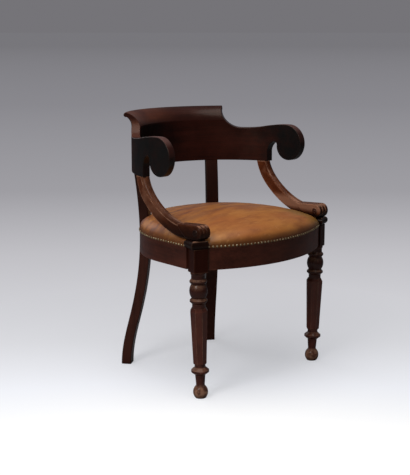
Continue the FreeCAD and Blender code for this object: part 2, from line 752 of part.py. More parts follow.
def arm_support():
    half = CAP_SIDE / 2
    cap = box(CAP_OUT - half, CAP_OUT + half, -half, half, BLOCK_TOP, CAP_TOP)
    cap = cap.makeFillet(CAP_ROUNDING, [edge for edge in cap.Edges if edge.BoundBox.ZLength < 1e-6])
    sweep = support_sweep(moulded_section())
    shape = sweep.fuse(support_barrel() + [at_leg(cap), support_tenon(0)])
    foot = on_plan(LEG_X, LEG_V) + UP * BLOCK_TOP
    spigot = Part.makeCylinder(SPIGOT_R + JOINT_GAP, SPIGOT_H + JOINT_GAP, foot)
    return shape.cut([spigot, eye_buttons(JOINT_GAP)])


def eye_buttons(gap=0.0):
    """The two turned buttons in the sides of the left roll."""
    middle = (BARREL_TOP + CAP_TOP) / 2
    buttons = []
    for side in (-1, 1):
        button = Part.makeCylinder(EYE_PIN_R + gap, EYE_PIN_L + gap, vec(0, 0, -EYE_PIN_L - gap))
        if gap == 0:
            rim = (EYE_R, 0)
            dish = (EYE_BOSS_R, EYE_DISH)
            tip = (EYE_BOSS_R / FAR, EYE_RISE)
            button = button.fuse(turned_profile(rim, (bowed(rim, dish, EYE_ROUND), dish),
                                                (bowed(dish, tip, EYE_ROUND / 2), tip)))
        button.rotate(vec(0, 0), vec(0, 1), 90 * side)
        button.translate(vec(LEG_X + side * BARREL_W / 2, PLAN_Y + BARREL_V, middle))
        buttons.append(button)
    return Part.makeCompound(buttons)


# Seat: webbing, hessian, stuffing, leather and nails

def seat_pockets():
    """The room that the stiles, the support caps and the supports take out of the upholstery."""
    stiles = stile_space(POCKET_GAP, 0, FAR * 2, STILE_IN_R - POCKET_GAP)
    caps = both(leg_block_space(POCKET_GAP, 0, FAR * 2, CAP_SIDE, CAP_OUT))
    supports = both(support_sweep(plain_section(POCKET_GAP)))
    half = BARREL_W / 2 + POCKET_GAP
    rolls = both(box(LEG_X - half, LEG_X + FAR, PLAN_Y - FAR, PLAN_Y + BARREL_TAIL_V - BARREL_W / 2,
                     CAP_TOP - POCKET_GAP, CREST_TOP))
    return [stiles, caps, supports, rolls]


def crowned(inset, low, sink):
    """The crowned seat form, with its sides drawn in to the lap."""
    crown_top = RAIL_TOP + SEAT_CROWN - sink
    rise = SEAT_CROWN - SEAT_EDGE_RISE
    crown_r = (ROUND_R ** 2 + rise ** 2) / (2 * rise)
    dome = Part.makeSphere(crown_r, vec(0, PLAN_Y + SEAT_CROWN_V, crown_top - crown_r))
    form = seat_prism(inset, low, crown_top + 1).common(dome)
    rim = []
    for edge in form.Edges:
        across = max(edge.BoundBox.XLength, edge.BoundBox.YLength)
        if edge.BoundBox.ZMin > low + 1 and across > RAIL_T:
            rim.append(edge)
    return form.makeFillet(SEAT_EDGE_ROUND - sink, rim)


def leather_cover():
    skin = crowned(-LEATHER_PROUD, LAP_BOTTOM, 0)
    inside = crowned(LEATHER_T - LEATHER_PROUD, LAP_BOTTOM, LEATHER_T)
    return skin.cut(inside).cut(seat_pockets())


def seat_stuffing():
    pad = crowned(LEATHER_T - LEATHER_PROUD + LAYER_GAP, LAP_BOTTOM, LEATHER_T + LAYER_GAP)
    below = box(-FAR, FAR, -FAR, FAR, 0, STUFFING_Z)
    return pad.cut([below] + seat_pockets())


def hessian():
    sheet = seat_prism(WEB_INSET, HESSIAN_Z, HESSIAN_Z + HESSIAN_T)
    return sheet.cut(seat_pockets())


def webbing(lengthwise):
    low = WEB_Z + (WEB_T + LAYER_GAP if lengthwise else 0)
    field = seat_prism(WEB_INSET, low, low + WEB_T).cut(seat_pockets())
    straps = []
    for k in range(WEB_COUNT):
        place = (k - (WEB_COUNT - 1) / 2) * WEB_PITCH
        if lengthwise:
            strip = box(place - WEB_W / 2, place + WEB_W / 2, -FAR, FAR, low, low + WEB_T)
        else:
            middle = PLAN_Y + (ROUND_R - BOW_REACH) / 2 + place
            strip = box(-FAR, FAR, middle - WEB_W / 2, middle + WEB_W / 2, low, low + WEB_T)
        straps.append(max(field.common(strip).Solids, key=lambda solid: solid.Volume))
    return Part.makeCompound(straps)


def nail(x, v, angle):
    """A domed nail head on the leather's lap, hammered in facets, facing outwards at a plan angle."""
    dome_r = (NAIL_R ** 2 + NAIL_RISE ** 2) / (2 * NAIL_RISE)
    spread_angle = math.asin(NAIL_R / dome_r)
    rings = []
    for part in (1, 0.6, 0.2):
        radius = dome_r * math.sin(spread_angle * part)
        height = dome_r * math.cos(spread_angle * part) - dome_r + NAIL_RISE
        rings.append(even_polygon(NAIL_SIDES, 2 * radius, height))
    head = Part.makeLoft(rings, True, True)
    head.rotate(vec(0, 0), vec(1, 0), -90)
    head.rotate(vec(0, 0), UP, -angle)
    head.translate(on_plan(x, v) + UP * (RAIL_TOP - NAIL_DROP))
    return head


def spread(start, end):
    """Even places along a run, one nail's radius clear of its ends."""
    first = start + NAIL_R + POCKET_GAP
    last = end - NAIL_R - POCKET_GAP
    count = round((last - first) / NAIL_PITCH)
    return [first + (last - first) * k / count for k in range(count + 1)]


def cap_on_bow(bow):
    """How far out the left cap's inner face meets a line along the bowed front."""
    yaw = math.radians(LEG_YAW)
    inner = CAP_SIDE / 2 - CAP_OUT
    from_x = LEG_X - inner * math.cos(yaw)
    from_v = LEG_V - inner * math.sin(yaw) - BOW_CENTRE_V
    half = from_x * math.sin(yaw) - from_v * math.cos(yaw)
    along = -half + math.sqrt(half ** 2 - (from_x ** 2 + from_v ** 2 - bow ** 2))
    return from_x + along * math.sin(yaw)


def brass_nails():
    out = -LEATHER_PROUD
    radius = ROUND_R - out
    stile_arc = math.radians(STILE_ANGLE) * radius
    half_stile = STILE_WIDTH / 2
    heads = []
    for along in spread(half_stile - stile_arc, stile_arc - half_stile):
        turn = along / radius
        heads.append(nail(radius * math.sin(turn), radius * math.cos(turn), math.degrees(turn)))
    corner_x, corner_v = seat_corner(out)
    tangent_x, tangent_v, end = side_point(out, radius * math.radians(ROUND_END))
    side_end = radius * math.radians(ROUND_END) + math.dist((corner_x, corner_v), (tangent_x, tangent_v))
    yaw = math.radians(LEG_YAW)
    back_edge = LEG_V + CAP_SIDE / 2 * (math.cos(yaw) + math.sin(yaw))
    side_end -= (back_edge - corner_v) / math.sin(math.radians(ROUND_END))
    for along in spread(stile_arc + half_stile, side_end):
        head = nail(*side_point(out, along))
        heads += [head, mirrored(head)]
    bow = BOW_R - out
    half_bow = bow * math.asin(cap_on_bow(bow) / bow)
    for along in spread(-half_bow, half_bow):
        turn = along / bow
        faces = 180 - math.degrees(turn)
        heads.append(nail(bow * math.sin(turn), BOW_CENTRE_V - bow * math.cos(turn), faces))
    return Part.makeCompound(heads)


# Assembly: every piece in its own file, the right side mirrored from the left

def build():
    leg_hole = leg_screw(JOINT_GAP)
    leg = front_leg().cut(leg_hole)
    stile = back_stile()
    side_rail = side_seat_rail()
    support = arm_support()
    left_arm = arm()
    front_block = front_corner_block().cut(leg_hole)
    holes = back_screws(JOINT_GAP)
    back_block = back_corner_block().cut(holes)
    rail_holes = Part.makeCompound(holes)
    eyes = eye_buttons()
    pieces = {
        "crest_rail": crest_rail(),
        "arm_dowels": arm_dowels(),
        "volute_eyes": both(eyes),
        "front_seat_rail": front_seat_rail(),
        "back_seat_rail": back_seat_rail().cut(both(rail_holes)),
        "corner_block_screws": both(Part.makeCompound(back_screws() + [leg_screw()])),
        "webbing_cross": webbing(False),
        "webbing_length": webbing(True),
        "hessian_base": hessian(),
        "seat_stuffing": seat_stuffing(),
        "leather_cover": leather_cover(),
        "brass_nails": brass_nails()}
    pairs = {
        "arm": left_arm,
        "arm_support": support,
        "front_leg": leg,
        "back_stile": stile,
        "side_seat_rail": side_rail.cut(rail_holes),
        "corner_block_front": front_block,
        "corner_block_back": back_block}
    for name, shape in pairs.items():
        pieces[name + "_left"] = shape
        pieces[name + "_right"] = mirrored(shape)
    return pieces


os.makedirs("parts", exist_ok=True)
for node, solid in build().items():
    solid.exportStep("parts/" + node + ".step")
    print(node, len(solid.Solids), "solids, valid:", solid.isValid())
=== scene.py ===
from math import asin, atan2, cos, pi, radians, sin

import bmesh
import bpy
import numpy as np
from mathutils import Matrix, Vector, noise
from mathutils.bvhtree import BVHTree


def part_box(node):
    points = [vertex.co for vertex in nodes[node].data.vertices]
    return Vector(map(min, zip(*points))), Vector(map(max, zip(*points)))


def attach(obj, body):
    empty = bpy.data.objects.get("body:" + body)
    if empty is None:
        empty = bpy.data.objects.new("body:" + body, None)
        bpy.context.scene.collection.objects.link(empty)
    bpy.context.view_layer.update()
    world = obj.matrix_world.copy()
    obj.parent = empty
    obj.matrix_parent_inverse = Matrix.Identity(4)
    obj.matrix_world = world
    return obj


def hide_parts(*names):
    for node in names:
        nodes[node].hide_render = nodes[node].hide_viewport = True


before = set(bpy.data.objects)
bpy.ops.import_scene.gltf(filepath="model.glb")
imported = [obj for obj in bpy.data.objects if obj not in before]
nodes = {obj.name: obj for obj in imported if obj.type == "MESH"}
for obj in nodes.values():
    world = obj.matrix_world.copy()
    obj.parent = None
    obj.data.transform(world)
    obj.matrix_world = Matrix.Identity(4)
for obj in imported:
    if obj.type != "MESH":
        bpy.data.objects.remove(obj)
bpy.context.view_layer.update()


# Front legs. Solid mahogany, turned on the lathe, with an eight-sided shaft planed by hand.
# A square block at the top takes the seat rails, the polish has worn off the ball feet, and the collars' tops
# carry a painted highlight.

FOOT_TOP = 0.042
ANKLE_TOP = 0.11
SHAFT_TOP = 0.26
BLOCK_LOW = 0.36
LEG_DARK = (0.031, 0.0076, 0.0052)
LEG_LIGHT = (0.108, 0.027, 0.0165)
# The colour of worn wood, also used for the painted highlight on the collars.
LEG_WEAR_AND_HIGHLIGHT = (0.30, 0.158, 0.098)
LEG_GRIME = (0.0150, 0.0028, 0.0016)
OLD_WAX = (0.009, 0.0035, 0.0026)
# The near black of old dirt and painted shade in corners.
CORNER_DIRT_AND_SHADE = (0.003, 0.001, 0.001)
PORE_DARK = (0.006, 0.003, 0.002)
POLISH_TINT = (1.0, 0.74, 0.56)
UP = (0.0, 0.0, 1.0)


def feed(tree, sockets, values):
    """Sets sockets to plain values, or links them to other nodes' outputs."""
    for name, value in values.items():
        if isinstance(value, bpy.types.NodeSocket):
            tree.links.new(value, sockets[name])
        else:
            sockets[name].default_value = value


def place(tree, kind, inputs=None, **settings):
    """A new node with its settings and what goes into it."""
    made = tree.nodes.new(kind)
    for name, value in settings.items():
        setattr(made, name, value)
    feed(tree, made.inputs, inputs or {})
    return made


def sums(tree, operation, *values):
    """The result of a math node."""
    return place(tree, "ShaderNodeMath", dict(enumerate(values)), operation=operation).outputs[0]


def times(tree, value, *others):
    """Values multiplied together."""
    for other in others:
        value = sums(tree, "MULTIPLY", value, other)
    return value


def greatest(tree, value, *others):
    """The greatest of some values."""
    for other in others:
        value = sums(tree, "MAXIMUM", value, other)
    return value


def vectors(tree, operation, *values):
    """The result of a vector math node, a vector or a number."""
    made = place(tree, "ShaderNodeVectorMath", dict(enumerate(values)), operation=operation)
    return made.outputs["Value" if operation in ("DOT_PRODUCT", "DISTANCE", "LENGTH") else "Vector"]


def apart(tree, vector):
    """The three parts of a vector."""
    return place(tree, "ShaderNodeSeparateXYZ", {0: vector}).outputs


def together(tree, x, y, z=0.0):
    """A vector from its three parts."""
    return place(tree, "ShaderNodeCombineXYZ", {0: x, 1: y, 2: z}).outputs[0]


def facing(tree, way):
    """How squarely the surface faces a way: 1 straight at it, -1 straight away from it."""
    return vectors(tree, "DOT_PRODUCT", place(tree, "ShaderNodeNewGeometry").outputs["Normal"], way)


def blended(tree, factor, first, second):
    """Two colours mixed by a factor, each of them a socket, or its red, green and blue."""
    first, second = ((*colour, 1.0) if isinstance(colour, tuple) else colour for colour in (first, second))
    return place(tree, "ShaderNodeMix", {0: factor, 6: first, 7: second}, data_type="RGBA").outputs[2]


def cloudy(tree, vector, scale, detail=3.0, rough=0.5):
    """Soft random light and dark, scaled alike or along each axis."""
    if isinstance(scale, tuple):
        vector = vectors(tree, "MULTIPLY", vector, scale)
        scale = 1.0
    return place(tree, "ShaderNodeTexNoise",
                 {"Vector": vector, "Scale": scale, "Detail": detail, "Roughness": rough}).outputs[0]


def ranged(tree, value, low, high, to_low=0.0, to_high=1.0):
    """A value taken from one range to another and held there."""
    return place(tree, "ShaderNodeMapRange", {"Value": value, "From Min": low, "From Max": high,
                                              "To Min": to_low, "To Max": to_high}).outputs[0]


def object_place(tree):
    """Where a point lies on its piece, in metres."""
    return place(tree, "ShaderNodeTexCoord").outputs["Object"]


def new_group(name, takes, gives, kind="ShaderNodeTree"):
    """An empty node group with named sockets, and the sockets that it is given."""
    tree = bpy.data.node_groups.new(name, kind)
    for way, sockets in (("INPUT", takes), ("OUTPUT", gives)):
        for socket, holds in sockets.items():
            tree.interface.new_socket(socket, in_out=way, socket_type="NodeSocket" + holds)
    return tree, tree.nodes.new("NodeGroupInput").outputs


def make_old_polish():
    """Where hands and dusters reach the edges, all of them or the level ones, and the corners, darkened by
    old dirt and painted shade.
    """
    tree, given = new_group("old polish", {"Reach": "Float"},
                            {"Edge": "Float", "Level Edge": "Float", "Corner": "Float"})
    rounded = place(tree, "ShaderNodeBevel", {"Radius": given["Reach"]}, samples=6).outputs[0]
    edge = ranged(tree, facing(tree, rounded), 0.985, 0.87)
    open_air = place(tree, "ShaderNodeAmbientOcclusion", {"Distance": 0.02}, samples=6).outputs["AO"]
    patchy = cloudy(tree, object_place(tree), 38.0, 4.0, 0.6)
    worn = times(tree, edge, ranged(tree, open_air, 0.5, 0.8), ranged(tree, patchy, 0.36, 0.6, 0.15, 1.0))
    slope = sums(tree, "ABSOLUTE", vectors(tree, "DOT_PRODUCT", rounded, UP))
    level = times(tree, worn, ranged(tree, slope, 0.15, 0.4))
    # Corner: shut-in places near other surfaces, darkened as old dirt together with painted shade.
    corner = ranged(tree, open_air, 0.8, 0.3)
    place(tree, "NodeGroupOutput", {"Edge": worn, "Level Edge": level, "Corner": corner})
    return tree


def make_mahogany_grain():
    """Figure, pores and patina of old mahogany. The grain runs along the vector's first axis."""
    tree, given = new_group("mahogany grain", {"Along": "Vector", "Dark": "Color", "Light": "Color"},
                            {"Colour": "Color", "Pore": "Float", "Patina": "Float"})
    along = given["Along"]
    ribbon = cloudy(tree, along, (3.0, 42.0, 42.0), 4.0, 0.55)
    streak = cloudy(tree, along, (9.0, 210.0, 210.0), 3.0, 0.6)
    pore = ranged(tree, cloudy(tree, along, (60.0, 1500.0, 1500.0), 2.0), 0.56, 0.7)
    patina = cloudy(tree, along, 11.0, 4.0, 0.6)
    tone = times(tree, ribbon, 0.5)
    tone = sums(tree, "MULTIPLY_ADD", streak, 0.28, tone)
    tone = sums(tree, "MULTIPLY_ADD", patina, 0.42, tone)
    colour = blended(tree, ranged(tree, tone, 0.42, 0.78), given["Dark"], given["Light"])
    colour = blended(tree, times(tree, pore, 0.45), colour, PORE_DARK)
    place(tree, "NodeGroupOutput", {"Colour": colour, "Pore": pore, "Patina": patina})
    return tree


old_polish = make_old_polish()
mahogany_grain = make_mahogany_grain()


def new_material(name):
    """A material with an empty tree and its Principled shader at the output."""
    material = bpy.data.materials.new(name)
    material.use_nodes = True
    tree = material.node_tree
    tree.nodes.clear()
    shader = place(tree, "ShaderNodeBsdfPrincipled")
    place(tree, "ShaderNodeOutputMaterial", {"Surface": shader.outputs[0]})
    return material, tree, shader.inputs


def bumped(tree, height, distance, strength, **settings):
    """The normal of a surface with small relief."""
    return place(tree, "ShaderNodeBump", {"Height": height, "Distance": distance, "Strength": strength},
                 **settings).outputs[0]


def mahogany(name, grain_way, dark, light, worn, wear, edges="Edge", rubbed_and_lit=None, grimed_and_shaded=None,
             grime_and_shade=OLD_WAX, gloss=0.15, edge_reach=0.004, through=0.35, waxed=None):
    """Polished mahogany, with its grain laid one way and its edges worn towards a lighter colour.

    rubbed_and_lit and grimed_and_shaded give the share of the surface that is worn through, or lit with a
    painted highlight in the worn colour, or dark with old wax, dirt and painted shade.
    through is how much of an edge's wear shows through that darkening, and waxed how thick the polish still
    is.
    """
    material, tree, shader = new_material(name)
    where = object_place(tree)
    grain = place(tree, "ShaderNodeGroup", {"Along": grain_way(tree, where), "Dark": (*dark, 1.0),
                                            "Light": (*light, 1.0)}, node_tree=mahogany_grain).outputs
    polish = place(tree, "ShaderNodeGroup", {"Reach": edge_reach}, node_tree=old_polish).outputs
    colour = grain["Colour"]
    bare_and_lit = times(tree, polish[edges], wear)
    if grimed_and_shaded:
        # The share darkened: old wax and dirt, and on the crest and under the arms' scrolls painted shade as
        # well.
        dirt = grimed_and_shaded(tree, where)
        colour = blended(tree, dirt, colour, grime_and_shade)
        bare_and_lit = times(tree, bare_and_lit, ranged(tree, dirt, 0.0, 1.0, 1.0, through))
    # Painted highlights on some pieces join the worn edges here, in the worn colour.
    if rubbed_and_lit:
        bare_and_lit = greatest(tree, bare_and_lit, rubbed_and_lit(tree, where))
    colour = blended(tree, bare_and_lit, colour, worn)
    # The corners go towards near black: old dirt, with painted shade where surfaces close in.
    colour = blended(tree, times(tree, polish["Corner"], 0.6), colour, CORNER_DIRT_AND_SHADE)
    rough = sums(tree, "MULTIPLY_ADD", bare_and_lit, 0.15, ranged(tree, grain["Patina"], 0.3, 0.7, 0.3, 0.46))
    polished = ranged(tree, bare_and_lit, 0.0, 1.0, 0.08, 0.03)
    if waxed:
        polished = times(tree, polished, waxed(tree, where))
    feed(tree, shader, {"Base Color": colour, "Roughness": rough, "Coat Weight": polished,
                        "Coat Roughness": 0.16, "Specular IOR Level": gloss,
                        "Specular Tint": (*POLISH_TINT, 1.0),
                        "Normal": bumped(tree, grain["Pore"], 0.0002, 0.25, invert=True)})
    return material


def upright_grain(tree, where):
    """The grain of a piece that stands upright."""
    x, y, z = apart(tree, where)
    return together(tree, z, x, y)


def dress(material, *names):
    """Gives CAD pieces their finish."""
    for name in names:
        mesh = nodes[name].data
        if not mesh.materials:
            mesh.materials.append(material)
        for k in range(len(mesh.materials)):
            mesh.materials[k] = material


def worn_and_highlit_turning(tree, where):
    """The ball feet, worn through the polish in patches, and a painted highlight on the tops of the collars,
    where the light falls from above.
    """
    height = apart(tree, where)[2]
    patchy = cloudy(tree, where, 75.0, 3.0)
    foot = times(tree, ranged(tree, height, FOOT_TOP, FOOT_TOP - 0.012),
                 ranged(tree, patchy, 0.4, 0.6, 0.15, 0.8))
    # Painted highlight on faces that look up and a little towards the light at the left front.
    lit_from_above = ranged(tree, facing(tree, (-0.2, -0.1, 0.97)), 0.25, 0.75)
    turned = greatest(tree, ranged(tree, height, SHAFT_TOP, SHAFT_TOP + 0.015),
                      ranged(tree, height, ANKLE_TOP, ANKLE_TOP - 0.01))
    highlit_collars = times(tree, lit_from_above, turned, ranged(tree, patchy, 0.35, 0.6, 0.1, 0.4))
    return greatest(tree, foot, highlit_collars)


def grimed_turning(tree, where):
    """The block, the ball and collars below it, and the ankle, where dirt has built up."""
    height = apart(tree, where)[2]
    collars = ranged(tree, height, SHAFT_TOP - 0.005, SHAFT_TOP + 0.02, 0.0, 0.75)
    block = ranged(tree, height, BLOCK_LOW, BLOCK_LOW + 0.01, 0.0, 0.9)
    patchy = ranged(tree, cloudy(tree, where, 60.0), 0.4, 0.6, 0.15, 0.6)
    ankle = times(tree, ranged(tree, height, ANKLE_TOP - 0.005, ANKLE_TOP - 0.015), patchy)
    return greatest(tree, collars, block, ankle)


def waxed_turning(tree, where):
    """The turned parts of a leg, which still shine, and the block above them, which is dull."""
    return ranged(tree, apart(tree, where)[2], BLOCK_LOW, BLOCK_LOW + 0.01, 3.5, 0.0)


dress(mahogany("turned mahogany", upright_grain, LEG_DARK, LEG_LIGHT, LEG_WEAR_AND_HIGHLIGHT, 0.7, rubbed_and_lit=worn_and_highlit_turning,
               grimed_and_shaded=grimed_turning, grime_and_shade=LEG_GRIME, gloss=0.06, through=0.2, waxed=waxed_turning),
      "front_leg_left", "front_leg_right")


# Back stiles. Each is sawn from one mahogany board as a sabre leg below and a leaning post above.
# They are mortised for the seat rails and tenoned up into the crest rail.

POST_LOW = 0.42
STILE_DARK = (0.020, 0.0046, 0.0030)
STILE_LIGHT = (0.054, 0.0135, 0.0085)
STILE_WORN = (0.14, 0.060, 0.040)
STILE_POST_DARK = (0.0085, 0.0019, 0.0012)


def darkened_post(tree, where):
    """The posts above the seat, made darker than the stiles below them."""
    return ranged(tree, apart(tree, where)[2], POST_LOW, POST_LOW + 0.08, 0.0, 0.7)


dress(mahogany("sawn mahogany", upright_grain, STILE_DARK, STILE_LIGHT, STILE_WORN, 0.5, grimed_and_shaded=darkened_post,
               grime_and_shade=STILE_POST_DARK),
      "back_stile_left", "back_stile_right")


# Seat rails. Mahogany, sawn to the round of the seat and tenoned into the stiles and leg blocks.
# The front rail is bowed, so its grain runs straight across it, and the others turn with the seat.

ROUND_R = 0.265
ROUND_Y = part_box("back_seat_rail")[1].y - ROUND_R
RAIL_DARK = (0.021, 0.0050, 0.0030)
RAIL_LIGHT = (0.072, 0.018, 0.0105)
RAIL_WORN = (0.15, 0.060, 0.036)


def straight_grain(tree, where):
    """The grain of a piece that lies straight across the chair."""
    return where


def round_grain(tree, where):
    """The grain of a bent piece: along the round, across it and up."""
    x, y, z = apart(tree, where)
    back = sums(tree, "SUBTRACT", y, ROUND_Y)
    along = times(tree, sums(tree, "ARCTAN2", x, back), ROUND_R)
    across = sums(tree, "SQRT", sums(tree, "MULTIPLY_ADD", x, x, times(tree, back, back)))
    return together(tree, along, across, z)


dress(mahogany("front rail mahogany", straight_grain, RAIL_DARK, RAIL_LIGHT, RAIL_WORN, 0.6, "Level Edge"),
      "front_seat_rail")
dress(mahogany("round rail mahogany", round_grain, RAIL_DARK, RAIL_LIGHT, RAIL_WORN, 0.6, "Level Edge"),
      "back_seat_rail", "side_seat_rail_left", "side_seat_rail_right")


# Corner blocks and screws. Plain unpolished beech, glued into the corners of the seat frame.
# Steel wood screws, dulled with age, hold the blocks to the legs and rails.

BEECH_DARK = (0.26, 0.15, 0.075)
BEECH_LIGHT = (0.40, 0.25, 0.135)
BEECH_FLECK = (0.15, 0.08, 0.04)
STEEL_DARK = (0.22, 0.21, 0.20)
STEEL_LIGHT = (0.46, 0.45, 0.43)


def beech(name, grain_way):
    """Bare beech, with its rings and short dark flecks along the grain."""
    material, tree, shader = new_material(name)
    along = grain_way(tree, object_place(tree))
    fleck = ranged(tree, cloudy(tree, along, (120.0, 900.0, 900.0), 2.0), 0.6, 0.68)
    ring = cloudy(tree, along, (4.0, 120.0, 120.0), 4.0)
    colour = blended(tree, ranged(tree, ring, 0.3, 0.7), BEECH_DARK, BEECH_LIGHT)
    colour = blended(tree, times(tree, fleck, 0.5), colour, BEECH_FLECK)
    feed(tree, shader, {"Base Color": colour, "Roughness": 0.65})
    return material


def old_steel():
    """Steel gone dull in spots."""
    material, tree, shader = new_material("old steel")
    dull = cloudy(tree, object_place(tree), 400.0, 3.0)
    feed(tree, shader, {"Base Color": blended(tree, dull, STEEL_DARK, STEEL_LIGHT), "Metallic": 1.0,
                        "Roughness": ranged(tree, dull, 0.3, 0.7, 0.3, 0.55)})
    return material


dress(beech("beech block", straight_grain), "corner_block_front_left", "corner_block_front_right",
      "corner_block_back_left", "corner_block_back_right")
dress(old_steel(), "corner_block_screws")


# Crest rail and arms. The round back is built from three bent mahogany pieces, doweled end to end.
# The middle rises into a rolled crest, and each arm thins forward into a turned-down scroll.

CREST_LIP = 0.748
BACK_DARK = (0.0085, 0.0016, 0.0011)
BACK_LIGHT = (0.034, 0.0068, 0.0044)
# The colour of the arms' worn edges, also used for the painted highlight on the scrolls' tops.
ARM_WEAR_AND_HIGHLIGHT = (0.18, 0.092, 0.080)
# The black of the handled scrolls, also used for painted shade under them.
ARM_GRIME_AND_SHADE = (0.0036, 0.0043, 0.0047)
# The colour of the crest's worn edges, also used for the painted highlight on its sweep.
CREST_WEAR_AND_HIGHLIGHT = (0.20, 0.058, 0.026)
# The near black of the crest's darkened ends and of its painted shadow.
CREST_SHADOW_BLACK = (0.0010, 0.0008, 0.0008)
SIDEWAYS = (1.0, 0.0, 0.0)


def grimed_and_shaded_scroll(tree, where):
    """The arms' upright faces, black from long handling: the scrolls, and outside further back; and their
    downward faces, black as painted shade.
    """
    x, y, _ = apart(tree, where)
    sideways = facing(tree, SIDEWAYS)
    outside = ranged(tree, times(tree, x, sideways), -0.05, 0.05, 0.0, 0.09)
    cloud = ranged(tree, cloudy(tree, where, 22.0, 4.0), 0.3, 0.7, -0.03, 0.03)
    forward = sums(tree, "ADD", sums(tree, "SUBTRACT", y, outside), cloud)
    upright = ranged(tree, sums(tree, "ABSOLUTE", sideways), 0.45, 0.8)
    # Painted shade: faces that look down are made black like the handled faces.
    below = ranged(tree, facing(tree, UP), 0.35, -0.15)
    thick = ranged(tree, cloudy(tree, where, 40.0, 4.0, 0.6), 0.35, 0.6, 0.78, 0.97)
    return times(tree, greatest(tree, upright, below), thick,
                 ranged(tree, forward, ROUND_Y + 0.115, ROUND_Y + 0.03))


def highlit_top(tree, where):
    """A painted highlight on the tops of the scrolls, where light falls from above."""
    lit_from_above = ranged(tree, facing(tree, (0.0, -0.2, 0.98)), 0.7, 0.95, 0.0, 0.3)
    return times(tree, lit_from_above, ranged(tree, apart(tree, where)[1], ROUND_Y + 0.12, ROUND_Y + 0.05))


def darkened_ends_and_shadow(tree, where):
    """The coved ends of the crest, made darker where they face sideways, and a painted shadow inside at its
    right end.
    """
    x, y, height = apart(tree, where)
    sideways = sums(tree, "ABSOLUTE", facing(tree, SIDEWAYS))
    from_middle = together(tree, x, sums(tree, "SUBTRACT", y, ROUND_Y))
    inward = ranged(tree, facing(tree, from_middle), -0.15, -0.24)
    cloud = ranged(tree, cloudy(tree, where, 18.0, 3.0), 0.3, 0.7, -0.03, 0.03)
    # waxed here is a painted shadow: the inside of the crest's right end, where the light from the left does
    # not reach.
    waxed = times(tree, inward, ranged(tree, sums(tree, "ADD", x, cloud), 0.07, -0.08, 0.0, 0.97),
                  ranged(tree, height, CREST_LIP, CREST_LIP - 0.013))
    ends = sums(tree, "SUBTRACT", ranged(tree, sideways, 0.65, 0.9, 0.0, 0.5), inward)
    return greatest(tree, ends, waxed)


def highlit_sweep(tree, where):
    """A painted highlight on the upward faces of the sweep below the crest's roll, redder brown towards its
    right end.
    """
    lit_from_above = ranged(tree, facing(tree, UP), 0.25, 0.5)
    patchy = ranged(tree, cloudy(tree, where, 14.0, 3.0), 0.35, 0.65, 0.1, 0.32)
    return times(tree, lit_from_above, patchy, ranged(tree, apart(tree, where)[0], 0.05, -0.1))


dress(mahogany("crest mahogany", round_grain, BACK_DARK, BACK_LIGHT, CREST_WEAR_AND_HIGHLIGHT, 0.3, "Level Edge",
               rubbed_and_lit=highlit_sweep, grimed_and_shaded=darkened_ends_and_shadow, grime_and_shade=CREST_SHADOW_BLACK), "crest_rail")
dress(mahogany("arm mahogany", round_grain, BACK_DARK, BACK_LIGHT, ARM_WEAR_AND_HIGHLIGHT, 0.4, "Level Edge",
               rubbed_and_lit=highlit_top, grimed_and_shaded=grimed_and_shaded_scroll, grime_and_shade=ARM_GRIME_AND_SHADE), "arm_left", "arm_right")
dress(beech("beech dowel", round_grain), "arm_dowels")


# Arm supports. Each is carved from one piece: a moulded curve, a reeded roll at its foot and a square cap.
# Turned eyes are pinned into both sides of the roll, and hands have rubbed the curve to a warmer brown.

GRAIN_FALL = radians(40.0)
ROLL_LOW = 0.472
ROLL_TOP = 0.52
EYE_RING = 0.009
SUPPORT_DARK = (0.030, 0.0060, 0.0023)
SUPPORT_LIGHT = (0.128, 0.033, 0.0105)
# The colour of worn wood, also used for the painted highlight on the reeds' crowns.
SUPPORT_WEAR_AND_HIGHLIGHT = (0.42, 0.215, 0.135)
SUPPORT_GRIME = (0.0075, 0.0026, 0.0018)


def falling_grain(tree, where):
    """The grain of the board that a support is sawn from, which falls forward at a slant."""
    along = vectors(tree, "DOT_PRODUCT", where, (0.0, cos(GRAIN_FALL), sin(GRAIN_FALL)))
    across = vectors(tree, "DOT_PRODUCT", where, (0.0, -sin(GRAIN_FALL), cos(GRAIN_FALL)))
    return together(tree, along, across, apart(tree, where)[0])


def seat_side(tree, where):
    """1 on the faces of the supports that look towards the seat, 0 on the outer ones."""
    outward = times(tree, apart(tree, where)[0], facing(tree, SIDEWAYS))
    return ranged(tree, outward, -0.06, -0.16)


def worn_and_highlit_curve(tree, where):
    """Wood worn through the polish on the curve and on the roll's inner side, and a painted highlight on the
    crowns of its reeds.
    """
    height = apart(tree, where)[2]
    patchy = ranged(tree, cloudy(tree, where, 30.0, 4.0), 0.42, 0.7, 0.0, 0.2)
    curve = times(tree, ranged(tree, height, ROLL_TOP - 0.025, ROLL_TOP + 0.01), patchy)
    roll = times(tree, ranged(tree, height, ROLL_LOW, ROLL_LOW + 0.012),
                 ranged(tree, height, ROLL_TOP, ROLL_TOP - 0.015, 0.0, 0.4), seat_side(tree, where))
    # Painted highlight: the tops of the reeds that face up and forward.
    lit_from_above = ranged(tree, facing(tree, (0.0, -0.45, 0.89)), 0.9, 0.995, 0.0, 0.45)
    highlit_crowns = times(tree, lit_from_above, ranged(tree, height, ROLL_TOP, ROLL_TOP - 0.015))
    return greatest(tree, curve, roll, highlit_crowns)


def eye_centres():
    """The middles of the four eyes, two on each side of the chair."""
    points = np.array([vertex.co for vertex in nodes["volute_eyes"].data.vertices])
    centres = []
    for side in (-1, 1):
        own = points[points[:, 0] * side > 0]
        middle = (own[:, 0].min() + own[:, 0].max()) / 2
        for half in (own[own[:, 0] < middle], own[own[:, 0] >= middle]):
            centres.append(tuple((half.min(axis=0) + half.max(axis=0)) / 2))
    return centres


